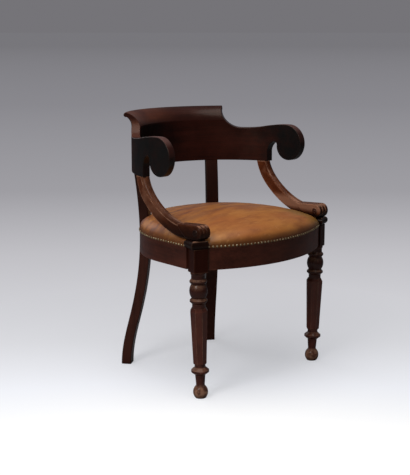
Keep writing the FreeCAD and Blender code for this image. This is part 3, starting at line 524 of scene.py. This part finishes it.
def grimed_roll(tree, where):
    """The roll's outer side and the cap below it, where wax and dirt have built up, and round each eye."""
    height = apart(tree, where)[2]
    outer = ranged(tree, seat_side(tree, where), 0.0, 1.0, 1.0, 0.2)
    roll = times(tree, ranged(tree, height, ROLL_TOP + 0.005, ROLL_LOW + 0.003, 0.0, 0.85), outer)
    cap = ranged(tree, height, ROLL_LOW + 0.002, ROLL_LOW - 0.006, 0.0, 0.97)
    dirt = greatest(tree, roll, cap, ranged(tree, outer, 0.2, 1.0, 0.0, 0.15))
    for eye in eye_centres():
        away = vectors(tree, "DISTANCE", where, eye)
        dirt = greatest(tree, dirt, ranged(tree, away, EYE_RING + 0.0015, EYE_RING, 0.0, 0.9))
    return dirt


def waxed_eye(tree, where):
    """The eyes on the outer sides of the rolls, which are dark with old wax."""
    return ranged(tree, seat_side(tree, where), 0.0, 1.0, 0.95, 0.0)


dress(mahogany("support mahogany", falling_grain, SUPPORT_DARK, SUPPORT_LIGHT, SUPPORT_WEAR_AND_HIGHLIGHT, 0.85,
               rubbed_and_lit=worn_and_highlit_curve, grimed_and_shaded=grimed_roll, grime_and_shade=SUPPORT_GRIME, gloss=0.05, edge_reach=0.0055,
               through=0.12),
      "arm_support_left", "arm_support_right")
dress(mahogany("eye mahogany", straight_grain, BACK_DARK, BACK_LIGHT, SUPPORT_WEAR_AND_HIGHLIGHT, 0.4, grimed_and_shaded=waxed_eye,
               gloss=0.05, through=0.12),
      "volute_eyes")


# Webbing. Ten straps of woven jute, five each way, which pass over and under each other.
# They are stretched over the seat frame and tacked down on top of the rails.

ROUND_END = radians(85.0)
BOW_R = 0.44025
BOW_Y = BOW_R - 0.227
POCKET_GAP = 0.0008
STILE_TURN = radians(34.7)
STILE_HALF = 0.019
STILE_FACE = 0.240
CAP_AT = (0.258, -0.131)
CAP_TURN = radians(20.0)
CAP_HALF = 0.0265
CAP_OUT = 0.005
SEARCH_FAR = 0.36
SEARCH_STEP = 0.0002
STRAPS = 5
WEB_W = 0.055
WEB_T = 0.0018
WEB_PITCH = 0.078
WEB_INSET = 0.007
WEB_MIDDLE = 0.019
WEB_CLEAR = 0.00012
web_middle_z = (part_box("webbing_cross")[0].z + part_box("webbing_length")[1].z) / 2
JUTE_GAP = (0.03, 0.02, 0.012)
WEB_DARK = (0.20, 0.145, 0.082)
WEB_LIGHT = (0.36, 0.275, 0.165)


def inside_edge(x, v):
    """How far points lie inside the seat's outline, with v counted from the round's middle."""
    across = np.abs(x)
    turn = np.arctan2(across, v)
    side = ROUND_R - (across * sin(ROUND_END) + v * cos(ROUND_END))
    back = np.where(turn <= ROUND_END, ROUND_R - np.hypot(across, v), side)
    return np.minimum(back, BOW_R - np.hypot(across, v - BOW_Y))


def off_pockets(x, v):
    """How far a point is from the nearest stile or cap, 0 where it is in one."""
    across = np.abs(x)
    beside = np.abs(across * cos(STILE_TURN) - v * sin(STILE_TURN)) - STILE_HALF
    before = STILE_FACE - (across * sin(STILE_TURN) + v * cos(STILE_TURN))
    stile = np.hypot(np.maximum(beside, 0), np.maximum(before, 0))
    ahead_x, ahead_v = across - CAP_AT[0], v - CAP_AT[1]
    cap_x = np.abs(ahead_x * cos(CAP_TURN) + ahead_v * sin(CAP_TURN) - CAP_OUT) - CAP_HALF
    cap_v = np.abs(ahead_v * cos(CAP_TURN) - ahead_x * sin(CAP_TURN)) - CAP_HALF
    cap = np.hypot(np.maximum(cap_x, 0), np.maximum(cap_v, 0))
    return np.minimum(stile, cap)


def clear_span(x, v, step_x, step_v, inset, gap=POCKET_GAP):
    """How far one can go from a point in a direction before the outline, a stile or a cap."""
    far = np.arange(0, SEARCH_FAR, SEARCH_STEP)[:, None]
    at_x, at_v = x + far * step_x, v + far * step_v
    blocked = (inside_edge(at_x, at_v) < inset) | (off_pockets(at_x, at_v) < gap)
    return far[np.argmax(blocked, axis=0), 0]


def closed_mesh(name, co, faces):
    """A mesh of points counted from the round's middle, with its faces turned outwards."""
    mesh = bpy.data.meshes.new(name)
    mesh.from_pydata((co + (0, ROUND_Y, 0)).tolist(), [], faces)
    made = bmesh.new()
    made.from_mesh(mesh)
    bmesh.ops.recalc_face_normals(made, faces=made.faces)
    made.to_mesh(mesh)
    made.free()
    return mesh


def new_piece(name, data):
    """A mesh, lamp or camera as an object of the scene."""
    piece = bpy.data.objects.new(name, data)
    bpy.context.scene.collection.objects.link(piece)
    return piece


def slab(top, thick):
    """A strip of cloth as points and faces, from a grid of points on its upper side."""
    rows, columns = top.shape[:2]
    count = rows * columns
    co = np.concatenate([top.reshape(-1, 3), top.reshape(-1, 3) - (0, 0, thick)])
    faces = []
    for i in range(rows - 1):
        for j in range(columns - 1):
            at = i * columns + j
            cell = (at, at + 1, at + columns + 1, at + columns)
            faces += [cell, tuple(count + k for k in cell[::-1])]
    rim = list(range(columns)) + [i * columns + columns - 1 for i in range(1, rows)]
    rim += [count - 1 - j for j in range(1, columns)] + [i * columns for i in range(rows - 2, 0, -1)]
    for first, second in zip(rim, rim[1:] + rim[:1]):
        faces.append((first, second, count + second, count + first))
    return co, faces


def webbing_strap(number, lengthwise):
    """One strap from rail to rail, waving over and under the straps that cross it."""
    wide = np.linspace(-WEB_W / 2, WEB_W / 2, 7)
    along = np.linspace(0, 1, 101)[:, None]
    still = np.zeros(len(wide))
    place_across = (number - STRAPS // 2) * WEB_PITCH
    if lengthwise:
        x = np.tile(place_across + wide, (len(along), 1))
        front = clear_span(x[0], still, still, still - 1, WEB_INSET)
        rear = clear_span(x[0], still, still, still + 1, WEB_INSET)
        v = (front + rear) * along - front
        wave = -np.cos(pi * (v - WEB_MIDDLE) / WEB_PITCH)
    else:
        v = np.tile(WEB_MIDDLE + place_across + wide, (len(along), 1))
        half = clear_span(still, v[0], still + 1, still, WEB_INSET)
        x = half * (2 * along - 1)
        wave = np.cos(pi * x / WEB_PITCH)
    height = web_middle_z + WEB_T / 2 + (-1) ** number * wave * (WEB_T / 2 + WEB_CLEAR)
    return slab(np.stack([x, v, height], 2), WEB_T)


def make_weave():
    """A plain weave in the vector's first two axes: the threads' height, and the gaps between them."""
    tree, given = new_group("plain weave", {"Place": "Vector", "Threads": "Float"},
                            {"Height": "Float", "Gap": "Float"})
    turns = times(tree, given["Threads"], pi)
    x, y, _ = apart(tree, given["Place"])
    warp = sums(tree, "SINE", times(tree, x, turns))
    weft = sums(tree, "SINE", times(tree, y, turns))
    over = sums(tree, "GREATER_THAN", times(tree, warp, weft), 0.0)
    warp, weft = sums(tree, "ABSOLUTE", warp), sums(tree, "ABSOLUTE", weft)
    upper = place(tree, "ShaderNodeMix", {0: over, 2: warp, 3: weft}).outputs[0]
    gap = ranged(tree, greatest(tree, warp, weft), 0.45, 0.2)
    place(tree, "NodeGroupOutput", {"Height": upper, "Gap": gap})
    return tree


weave = make_weave()


def jute(name, threads, dark, light):
    """Woven jute, slubbed and dusty, with so many threads to the metre."""
    material, tree, shader = new_material(name)
    where = object_place(tree)
    woven = place(tree, "ShaderNodeGroup", {"Place": where, "Threads": threads}, node_tree=weave).outputs
    slub = cloudy(tree, where, 260.0, 3.0)
    dust = cloudy(tree, where, 14.0, 4.0, 0.6)
    tone = sums(tree, "MULTIPLY_ADD", dust, 0.6, times(tree, slub, 0.4))
    colour = blended(tree, ranged(tree, tone, 0.35, 0.65), dark, light)
    colour = blended(tree, times(tree, woven["Gap"], 0.7), colour, JUTE_GAP)
    feed(tree, shader, {"Base Color": colour, "Roughness": 0.9, "Specular IOR Level": 0.1,
                        "Normal": bumped(tree, woven["Height"], 0.0004, 0.8)})
    return material


def make_webbing():
    """The straps across the seat and then the ones along it, as one piece."""
    co, faces = [], []
    for lengthwise in (False, True):
        for number in range(STRAPS):
            points, cells = webbing_strap(number, lengthwise)
            start = sum(len(part) for part in co)
            co.append(points)
            faces += [tuple(start + k for k in cell) for cell in cells]
    mesh = closed_mesh("webbing straps", np.concatenate(co), faces)
    mesh.materials.append(jute("jute webbing", 700.0, WEB_DARK, WEB_LIGHT))
    return new_piece("webbing_straps", mesh)


webbing_straps = make_webbing()
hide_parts("webbing_cross", "webbing_length")
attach(webbing_straps, "root")


# Hessian. A coarse, loosely woven jute cloth that is stretched over the webbing to carry the hair stuffing.
# It is cut to the seat's outline, with slits for the stiles and caps, and tacked to the rails.

HESSIAN_T = 0.0009
HESSIAN_LIFT = 0.0001
HESSIAN_CELLS = 40
HESSIAN_DARK = (0.17, 0.115, 0.060)
HESSIAN_LIGHT = (0.30, 0.215, 0.120)


def disc_grid(half):
    """A square grid bent into a disc: each corner's share of the radius and its turn, and the cells."""
    share, turn = [], []
    for i in range(-half, half + 1):
        for j in range(-half, half + 1):
            share.append(max(abs(i), abs(j)) / half)
            if abs(i) >= abs(j):
                angle = pi / 4 * j / i + (pi if i < 0 else 0) if i else 0.0
            else:
                angle = pi / 2 - pi / 4 * i / j + (pi if j < 0 else 0)
            turn.append(angle % (2 * pi))
    side = 2 * half + 1
    cells = []
    for i in range(2 * half):
        for j in range(2 * half):
            at = i * side + j
            cells.append((at, at + side, at + side + 1, at + 1))
    return np.array(share), np.array(turn), cells


def make_hessian():
    """The cloth as a thin disc with a lightly uneven surface."""
    share, turn, cells = disc_grid(HESSIAN_CELLS)
    span = clear_span(0.0, 0.0, np.sin(turn), np.cos(turn), WEB_INSET)
    x, v = np.sin(turn) * share * span, np.cos(turn) * share * span
    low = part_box("hessian_base")[0].z
    sag = np.array([noise.noise(Vector((a, b, 0.0)) * 30.0) for a, b in zip(x, v)])
    bottom = low + HESSIAN_LIFT + HESSIAN_LIFT * np.abs(sag)
    co = np.concatenate([np.stack([x, v, bottom + HESSIAN_T], 1), np.stack([x, v, bottom], 1)])
    count = len(share)
    faces = cells + [tuple(count + k for k in cell[::-1]) for cell in cells]
    rim = [int(k) for k in np.argsort(turn, kind="stable") if share[k] == 1.0]
    for first, second in zip(rim, rim[1:] + rim[:1]):
        faces.append((first, second, count + second, count + first))
    mesh = closed_mesh("hessian cloth", co, faces)
    mesh.materials.append(jute("hessian", 450.0, HESSIAN_DARK, HESSIAN_LIGHT))
    return new_piece("hessian_cloth", mesh)


hessian_cloth = make_hessian()
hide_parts("hessian_base")
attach(hessian_cloth, "root")


# Leather seat. One hide of tan leather, drawn over domed hair stuffing and turned down over the rails.
# It is cut round the stiles and caps, tucked in there, and passes under the feet of the arm supports.

LAP_PROUD = 0.0006
LEATHER_T = 0.0022
CROWN_Y = 0.008
CROWN_R = 0.9934
EDGE_ROUND = 0.042
TUCK_DEPTH = 0.007
TUCK_REACH = 0.014
AROUND = 400
MIDDLE_INSET = 0.058
EDGE_RINGS = 0.001 * np.array([49, 41, 34, 28, 23, 18.5, 14.5, 11, 8, 5.6, 3.6, 2, 0.8, 0])
HELD_RINGS = 5
CUT_EDGE_T = 0.0004
UNDER_SHARE = 0.9
HIDE_FRAMES = 20
HIDE = {"vertex_group_mass": "nailed", "mass": 0.4, "quality": 6, "tension_stiffness": 25.0,
        "compression_stiffness": 25.0, "bending_stiffness": 2.0, "use_pressure": True,
        "uniform_pressure_force": 4.0}
MOST_DRAWN = 0.004
SUPPORT_GAP = 0.0015
SUPPORT_SOFT = 0.008
LUMP = 0.0006
lap_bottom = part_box("leather_cover")[0].z
crown_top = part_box("leather_cover")[1].z
seat_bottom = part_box("seat_stuffing")[0].z + 0.0002
edge_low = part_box("front_seat_rail")[1].z - 0.0015
GOLD = (0.40, 0.160, 0.034)
TAN = (0.30, 0.095, 0.020)
BLOTCH = (0.20, 0.060, 0.016)
# Red streaks tinted pink, their own colour with a painted sheen.
RED_STREAK_AND_SHEEN = (0.135, 0.048, 0.030)
# The painted shade down the leather's turned edge.
SHADED_EDGE = (0.070, 0.019, 0.002)
OLIVE = (0.14, 0.080, 0.014)
OLIVE_AT = (0.2, ROUND_Y - 0.12, crown_top - 0.02)
SCUFFED = (0.50, 0.28, 0.13)


def seat_angles(even):
    """The angles round the seat's edge, with the ones nearest the stiles' corners moved onto them."""
    angles = even.copy()
    for side in (-1, 1):
        for depth in (STILE_FACE - POCKET_GAP, ROUND_R):
            half = atan2(STILE_HALF + POCKET_GAP, depth)
            for edge in (-half, half):
                turn = (side * STILE_TURN + edge) % (2 * pi)
                angles[np.argmin(np.abs(even - turn))] = turn
    return angles


def seat_height(x, v):
    """The leather's height: a dome with a rounded edge, drawn down at the stiles and caps."""
    dome = crown_top - (x ** 2 + (v - CROWN_Y) ** 2) / (2 * CROWN_R)
    rim = np.clip(inside_edge(x, v) / EDGE_ROUND, 0, 1)
    height = edge_low + (dome - edge_low) * np.sqrt(1 - (1 - rim) ** 2.3)
    tuck = np.clip(1 - (off_pockets(x, v) - POCKET_GAP) / TUCK_REACH, 0, 1)
    return np.maximum(height - TUCK_DEPTH * tuck ** 2, edge_low)


def leather_form():
    """The seat's closed form: crowned middle, rounded edge, lap and flat underside."""
    share, turn, cells = disc_grid(AROUND // 8)
    angles = seat_angles(np.linspace(0, 2 * pi, AROUND, endpoint=False))

    def span_at(where):
        """How far the leather goes from the middle at an angle."""
        return clear_span(0.0, 0.0, np.sin(where), np.cos(where), -LAP_PROUD)

    def flat_disc(radius):
        """The grid's corners in plan, each at its own distance from the middle."""
        return np.sin(turn) * radius, np.cos(turn) * radius

    middle_x, middle_v = flat_disc(share * (span_at(turn) - MIDDLE_INSET))
    co = [np.stack([middle_x, middle_v, seat_height(middle_x, middle_v)], 1)]
    way_x, way_v = np.sin(angles), np.cos(angles)
    span = span_at(angles)
    for back in EDGE_RINGS:
        x, v = way_x * (span - back), way_v * (span - back)
        co.append(np.stack([x, v, seat_height(x, v)], 1))
    rim = co[-1]
    free = len(co[0]) + AROUND * (len(EDGE_RINGS) - HELD_RINGS)
    cut = inside_edge(rim[:, 0], rim[:, 1]) > 0.001
    low = np.where(cut, seat_bottom, lap_bottom)
    for down in (0.35, 0.7, 1.0):
        co.append(np.stack([rim[:, 0], rim[:, 1], rim[:, 2] + (low - rim[:, 2]) * down], 1))
    inner = 1 - np.where(cut, CUT_EDGE_T, LEATHER_T) / span
    for height in (low, np.full(AROUND, seat_bottom)):
        co.append(np.stack([rim[:, 0] * inner, rim[:, 1] * inner, height], 1))
    below_x, below_v = flat_disc(share * UNDER_SHARE * span_at(turn))
    co.append(np.stack([below_x, below_v, np.full(len(share), seat_bottom)], 1))

    rim_of_disc = [k for k in np.argsort(turn, kind="stable") if share[k] == 1.0]
    rings = [rim_of_disc]
    first = len(share)
    for _ in range(len(co) - 2):
        rings.append(list(range(first, first + AROUND)))
        first += AROUND
    rings.append([first + k for k in rim_of_disc])
    faces = cells + [tuple(first + k for k in cell[::-1]) for cell in cells]
    for inside, outside in zip(rings, rings[1:]):
        for k in range(AROUND):
            after = (k + 1) % AROUND
            faces.append((inside[k], inside[after], outside[after], outside[k]))
    return np.concatenate(co), faces, free


def settle(piece, free):
    """Draws the hide tight over the stuffing with cloth pressure. Only its first points are free to move."""
    before = np.array([vertex.co for vertex in piece.data.vertices])
    held = piece.vertex_groups.new(name=HIDE["vertex_group_mass"])
    held.add(list(range(free, len(before))), 1.0, "REPLACE")
    hide = piece.modifiers.new("hide", "CLOTH")
    for name, value in HIDE.items():
        setattr(hide.settings, name, value)
    hide.settings.effector_weights.gravity = 0.0
    hide.point_cache.frame_start = 1
    hide.point_cache.frame_end = HIDE_FRAMES
    for now in range(1, HIDE_FRAMES + 1):
        bpy.context.scene.frame_set(now)
    drawn = piece.evaluated_get(bpy.context.evaluated_depsgraph_get()).to_mesh()
    moved = np.array([vertex.co for vertex in drawn.vertices]) - before
    length = np.linalg.norm(moved, axis=1, keepdims=True)
    after = before + moved * np.minimum(1.0, MOST_DRAWN / np.maximum(length, 1e-9))
    piece.modifiers.remove(hide)
    piece.data.vertices.foreach_set("co", after.ravel().astype(np.float32))
    bpy.context.scene.frame_set(1)


def fit_under(piece):
    """Presses the leather down where an arm support passes over it or stands close."""
    trees = []
    for name in ("arm_support_left", "arm_support_right"):
        mesh = nodes[name].data
        trees.append(BVHTree.FromPolygons([v.co for v in mesh.vertices], [p.vertices for p in mesh.polygons]))
    for vertex in piece.data.vertices:
        if vertex.co.z < edge_low:
            continue
        for tree in trees:
            start = Vector((vertex.co.x, vertex.co.y, edge_low - 0.0005))
            above = tree.ray_cast(start, Vector(UP), 0.2)[0]
            limit = above.z - SUPPORT_GAP if above else 1.0
            near = tree.find_nearest(vertex.co, SUPPORT_SOFT)[3]
            if near is not None:
                limit = min(limit, vertex.co.z - 0.35 * (SUPPORT_SOFT - near))
            vertex.co.z = min(vertex.co.z, max(limit, edge_low))


def make_leather_seat():
    """The hide, fitted under the supports, drawn tight, smoothed and made a little lumpy."""
    co, faces, free = leather_form()
    piece = new_piece("leather_seat", closed_mesh("leather seat", co, faces))
    fit_under(piece)
    settle(piece, free)
    smooth = piece.modifiers.new("smooth", "SUBSURF")
    smooth.levels = 1
    smooth.render_levels = 1
    fine = bpy.data.meshes.new_from_object(piece.evaluated_get(bpy.context.evaluated_depsgraph_get()))
    piece.modifiers.remove(smooth)
    piece.data = fine
    for vertex in fine.vertices:
        if vertex.co.z > edge_low:
            lump = noise.noise(vertex.co * 17.0) + 0.5 * noise.noise(vertex.co * 41.0)
            vertex.co.z += LUMP * lump * min(1.0, (vertex.co.z - edge_low) / 0.02)
    fine.shade_smooth()
    fine.set_sharp_from_angle(angle=radians(50.0))
    return piece


def tan_leather():
    """Old tan hide: a golden glaze, mottled and streaked red towards the back with a painted pink sheen
    there, and painted shade down the turned edge by the nails.
    """
    material, tree, shader = new_material("tan leather")
    where = object_place(tree)
    _, y, height = apart(tree, where)
    broad = cloudy(tree, where, (5.0, 9.0, 6.0), 4.0, 0.55)
    blotch = cloudy(tree, where, (16.0, 34.0, 20.0), 5.0, 0.62)
    colour = blended(tree, ranged(tree, broad, 0.36, 0.64), TAN, GOLD)
    colour = blended(tree, ranged(tree, blotch, 0.46, 0.68, 0.0, 0.7), colour, BLOTCH)
    streak = cloudy(tree, where, (7.0, 30.0, 20.0), 4.0, 0.6)
    red = times(tree, ranged(tree, streak, 0.42, 0.6), ranged(tree, y, -0.17, 0.04), 0.9)
    # The red streaks towards the back carry a pink tint, a painted sheen as well as their own colour.
    colour = blended(tree, red, colour, RED_STREAK_AND_SHEEN)
    # Painted shade on the leather where it turns down over the rails towards the nails.
    low = ranged(tree, height, edge_low + 0.018, edge_low, 0.0, 0.85)
    colour = blended(tree, low, colour, SHADED_EDGE)
    ragged = sums(tree, "ADD", vectors(tree, "DISTANCE", where, OLIVE_AT),
                  ranged(tree, blotch, 0.3, 0.7, -0.03, 0.03))
    colour = blended(tree, ranged(tree, ragged, 0.085, 0.03, 0.0, 0.7), colour, OLIVE)
    scuff = ranged(tree, cloudy(tree, where, (60.0, 130.0, 80.0), 4.0, 0.65), 0.6, 0.75, 0.0, 0.4)
    colour = blended(tree, scuff, colour, SCUFFED)
    pebble = place(tree, "ShaderNodeTexVoronoi", {"Vector": where, "Scale": 700.0}).outputs["Distance"]
    crease = cloudy(tree, where, 160.0, 4.0, 0.6)
    grain = sums(tree, "MULTIPLY_ADD", crease, 0.8, times(tree, pebble, 0.35))
    feed(tree, shader, {"Base Color": colour, "Roughness": ranged(tree, blotch, 0.3, 0.7, 0.40, 0.55),
                        "Specular IOR Level": 0.28, "Normal": bumped(tree, grain, 0.0005, 0.35)})
    return material


leather_seat = make_leather_seat()
leather_seat.data.materials.append(tan_leather())
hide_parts("leather_cover", "seat_stuffing")
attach(leather_seat, "root")


# Brass nails. Small domed upholsterer's nails, close set along the leather's lap and driven by hand.
# They stop at the stiles and at the caps over the front legs, and their lacquer has gone.

NAIL_PITCH = 0.0116
NAIL_R = 0.0032
NAIL_RISE = 0.0024
NAIL_SIDES = 10
NAIL_TILT = 0.06
NAIL_SEED = 7
NAIL_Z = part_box("front_seat_rail")[1].z - 0.009
RUN_POINTS = 3600
SHORTEST_RUN = 20
BRASS_DARK = (0.115, 0.078, 0.040)
BRASS_LIGHT = (0.42, 0.34, 0.215)


def nail_runs():
    """The lines that the nails follow, turning left round the seat seen from above."""
    angles = np.linspace(0, -2 * pi, RUN_POINTS)
    way_x, way_v = np.sin(angles), np.cos(angles)
    span = clear_span(0.0, 0.0, way_x, way_v, -LAP_PROUD, NAIL_R + POCKET_GAP)
    x, v = way_x * span, way_v * span
    on_lap = inside_edge(x, v) < 0.0006
    first = int(np.argmin(on_lap))
    runs, run = [], []
    for k in range(RUN_POINTS):
        at = (first + k) % RUN_POINTS
        if on_lap[at]:
            run.append((x[at], v[at] + ROUND_Y, NAIL_Z))
        elif run:
            runs.append(run)
            run = []
    return [run for run in runs if len(run) > SHORTEST_RUN]


def nail_head():
    """A domed head with its flat back on the lap, facing up Z."""
    dome_r = (NAIL_R ** 2 + NAIL_RISE ** 2) / (2 * NAIL_RISE)
    spread = asin(NAIL_R / dome_r)
    made = bmesh.new()
    rows = []
    for part in (1.0, 0.7, 0.35):
        radius = dome_r * sin(spread * part)
        height = dome_r * cos(spread * part) - dome_r + NAIL_RISE
        row = []
        for k in range(NAIL_SIDES):
            turn = 2 * pi * k / NAIL_SIDES
            row.append(made.verts.new((radius * cos(turn), radius * sin(turn), height)))
        rows.append(row)
    tip = made.verts.new((0, 0, NAIL_RISE))
    for k in range(NAIL_SIDES):
        after = (k + 1) % NAIL_SIDES
        for low, high in zip(rows, rows[1:]):
            made.faces.new((low[k], low[after], high[after], high[k]))
        made.faces.new((rows[-1][k], rows[-1][after], tip))
    made.faces.new(rows[0][::-1])
    for face in made.faces:
        face.smooth = len(face.verts) < NAIL_SIDES
    mesh = bpy.data.meshes.new("nail head")
    made.to_mesh(mesh)
    made.free()
    return mesh


def nailing_tree():
    """Sets heads along the runs at an even pitch, each turned and tilted a little differently."""
    takes = {"Runs": "Geometry", "Head": "Object", "Pitch": "Float", "Tilt": "Float", "Seed": "Int",
             "Finish": "Material"}
    tree, given = new_group("close nailing", takes, {"Nails": "Geometry"}, "GeometryNodeTree")
    curve = place(tree, "GeometryNodeMeshToCurve", {"Mesh": given["Runs"]}).outputs[0]
    spots = place(tree, "GeometryNodeCurveToPoints", {"Curve": curve, "Length": given["Pitch"]},
                  mode="LENGTH").outputs
    outward = vectors(tree, "CROSS_PRODUCT", spots["Tangent"], UP)
    turned = place(tree, "FunctionNodeAlignRotationToVector", {"Vector": outward}, axis="Z").outputs[0]
    least, most = (place(tree, "ShaderNodeVectorMath", {0: (way, way, 30 * way), "Scale": given["Tilt"]},
                         operation="SCALE").outputs[0] for way in (-1, 1))
    lean = place(tree, "FunctionNodeRandomValue", {"Min": least, "Max": most, "Seed": given["Seed"]},
                 data_type="FLOAT_VECTOR").outputs[0]
    lean = place(tree, "FunctionNodeEulerToRotation", {0: lean}).outputs[0]
    turned = place(tree, "FunctionNodeRotateRotation", {0: turned, 1: lean},
                   rotation_space="LOCAL").outputs[0]
    head = place(tree, "GeometryNodeObjectInfo", {"Object": given["Head"]}).outputs["Geometry"]
    driven = place(tree, "GeometryNodeInstanceOnPoints",
                   {"Points": spots["Points"], "Instance": head, "Rotation": turned}).outputs[0]
    real = place(tree, "GeometryNodeRealizeInstances", {0: driven}).outputs[0]
    finished = place(tree, "GeometryNodeSetMaterial", {"Geometry": real, "Material": given["Finish"]})
    place(tree, "NodeGroupOutput", {"Nails": finished.outputs[0]})
    return tree


def old_brass():
    """Brass gone brown in patches."""
    material, tree, shader = new_material("old brass")
    dull = cloudy(tree, object_place(tree), 60.0, 4.0, 0.6)
    colour = blended(tree, ranged(tree, dull, 0.35, 0.65), BRASS_DARK, BRASS_LIGHT)
    feed(tree, shader, {"Base Color": colour, "Metallic": 1.0,
                        "Roughness": ranged(tree, dull, 0.35, 0.65, 0.55, 0.35)})
    return material


def make_nails():
    """All the nails as one piece."""
    spots, lines = [], []
    for run in nail_runs():
        start = len(spots)
        spots += run
        lines += [(k, k + 1) for k in range(start, len(spots) - 1)]
    mesh = bpy.data.meshes.new("nail runs")
    mesh.from_pydata(spots, lines, [])
    piece = new_piece("brass_nail_rows", mesh)
    head = new_piece("nail_head", nail_head())
    nailing = piece.modifiers.new("nailing", "NODES")
    nailing.node_group = nailing_tree()
    chosen = {"Head": head, "Pitch": NAIL_PITCH, "Tilt": NAIL_TILT, "Seed": NAIL_SEED, "Finish": old_brass()}
    for socket in nailing.node_group.interface.items_tree:
        if socket.name in chosen:
            nailing[socket.identifier] = chosen[socket.name]
    driven = bpy.data.meshes.new_from_object(piece.evaluated_get(bpy.context.evaluated_depsgraph_get()))
    piece.modifiers.remove(nailing)
    piece.data = driven
    bpy.data.objects.remove(head)
    return piece


brass_nail_rows = make_nails()
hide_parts("brass_nails")
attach(brass_nail_rows, "root")


# Studio. A pale floor with a painted pool of light that fades to grey far behind, with soft boxes overhead,
# at the left front and behind. The camera stands at the chair's right front corner.

FLOOR_R = 300.0
FLOOR_LIGHT_FADE = ((0.01, (1.05, 1.05, 1.05)), (0.12, (0.885, 0.90, 0.95)), (0.215, (0.71, 0.715, 0.75)),
              (0.37, (0.53, 0.525, 0.555)), (0.48, (0.345, 0.34, 0.365)), (0.68, (0.25, 0.246, 0.268)),
              (1.0, (0.186, 0.183, 0.198)))
FADE_DECADES = (-0.4, 1.8)
POOL_AT = (-0.639, -0.634, 0.0)
VIEW_WAY = (0.7097, 0.7045, 0.0)
ASIDE_WAY = (VIEW_WAY[1], -VIEW_WAY[0], 0.0)
CAMERA_AT = (-2.2783, -2.2043, 1.0262)
CAMERA_TURN = radians(-45.21)
CAMERA_RISE = radians(11.11)
CAMERA_LENS = 80.47
CAMERA_SENSOR = 36.0


def pale_floor():
    """A painted pool of light: white before the chair and grey behind it. It takes the chair's shadow, and
    further off it glows.
    """
    material, tree, shader = new_material("pale floor")
    where = object_place(tree)
    rest = vectors(tree, "SUBTRACT", where, POOL_AT)
    forward = vectors(tree, "DOT_PRODUCT", rest, VIEW_WAY)
    aside = times(tree, vectors(tree, "DOT_PRODUCT", rest, ASIDE_WAY), 0.5)
    away = sums(tree, "SQRT", sums(tree, "MULTIPLY_ADD", forward, forward, times(tree, aside, aside)))
    decades = sums(tree, "LOGARITHM", greatest(tree, away, 0.2), 10.0)
    fade = place(tree, "ShaderNodeValToRGB", {0: ranged(tree, decades, *FADE_DECADES)})
    stops = fade.color_ramp.elements
    for k, (at, colour) in enumerate(FLOOR_LIGHT_FADE):
        stop = stops[k] if k < 2 else stops.new(at)
        stop.position = at
        stop.color = (*colour, 1.0)
    seen = place(tree, "ShaderNodeLightPath").outputs["Is Camera Ray"]
    # Camera rays see the floor brighter than the light it throws back onto the chair.
    bounce = ranged(tree, seen, 0.0, 1.0, 0.4, 1.0)
    feed(tree, shader, {"Base Color": vectors(tree, "MULTIPLY", fade.outputs[0], bounce), "Roughness": 1.0,
                        "Specular IOR Level": 0.0})
    floor_glow = place(tree, "ShaderNodeEmission", {"Color": fade.outputs[0]})
    glow = times(tree, seen, ranged(tree, vectors(tree, "LENGTH", where), 0.25, 1.1, 0.55, 1.0))
    lit = tree.nodes["Principled BSDF"].outputs[0]
    shown = place(tree, "ShaderNodeMixShader", {0: glow, 1: lit, 2: floor_glow.outputs[0]})
    feed(tree, tree.nodes["Material Output"].inputs, {"Surface": shown.outputs[0]})
    return material


bpy.ops.mesh.primitive_circle_add(vertices=64, radius=FLOOR_R, fill_type="NGON")
floor = bpy.context.object
floor.name = "floor"
floor.data.transform(floor.matrix_world)
floor.data.materials.append(pale_floor())

world = bpy.data.worlds.new("studio")
bpy.context.scene.world = world
world.use_nodes = True
sky = world.node_tree
sky.nodes.clear()
fill = place(sky, "ShaderNodeBackground", {"Color": (0.95, 0.97, 1.0, 1.0), "Strength": 0.16})
behind = place(sky, "ShaderNodeBackground", {"Color": (0.178, 0.174, 0.188, 1.0), "Strength": 1.0})
rays = place(sky, "ShaderNodeLightPath").outputs
seen = greatest(sky, rays["Is Camera Ray"], rays["Is Glossy Ray"])
both = place(sky, "ShaderNodeMixShader", {0: seen, 1: fill.outputs[0], 2: behind.outputs[0]})
place(sky, "ShaderNodeOutputWorld", {"Surface": both.outputs[0]})


def soft_box(name, at, aim, size, power, colour):
    """A round soft box that looks from one point towards another."""
    lamp = bpy.data.lights.new(name, "AREA")
    lamp.shape = "DISK"
    lamp.size = size
    lamp.energy = power
    lamp.color = colour
    box = new_piece(name, lamp)
    box.location = at
    box.rotation_euler = (Vector(aim) - Vector(at)).to_track_quat("-Z", "Y").to_euler()


soft_box("overhead", (-0.4, -0.1, 3.1), (0, 0, 0.4), 2.6, 56.0, (1.0, 0.99, 0.98))
soft_box("left front", (-2.9, -0.6, 2.2), (0, 0, 0.5), 1.5, 58.0, (1.0, 0.98, 0.96))
soft_box("behind", (0.3, 3.2, 2.4), (0, 0, 0.5), 1.8, 16.0, (0.97, 0.98, 1.0))

lens = bpy.data.cameras.new("camera")
lens.lens = CAMERA_LENS
lens.sensor_width = CAMERA_SENSOR
camera = new_piece("camera", lens)
camera.location = CAMERA_AT
camera.rotation_euler = (pi / 2 - CAMERA_RISE, 0.0, CAMERA_TURN)
bpy.context.scene.camera = camera
bpy.context.scene.view_settings.view_transform = "Standard"
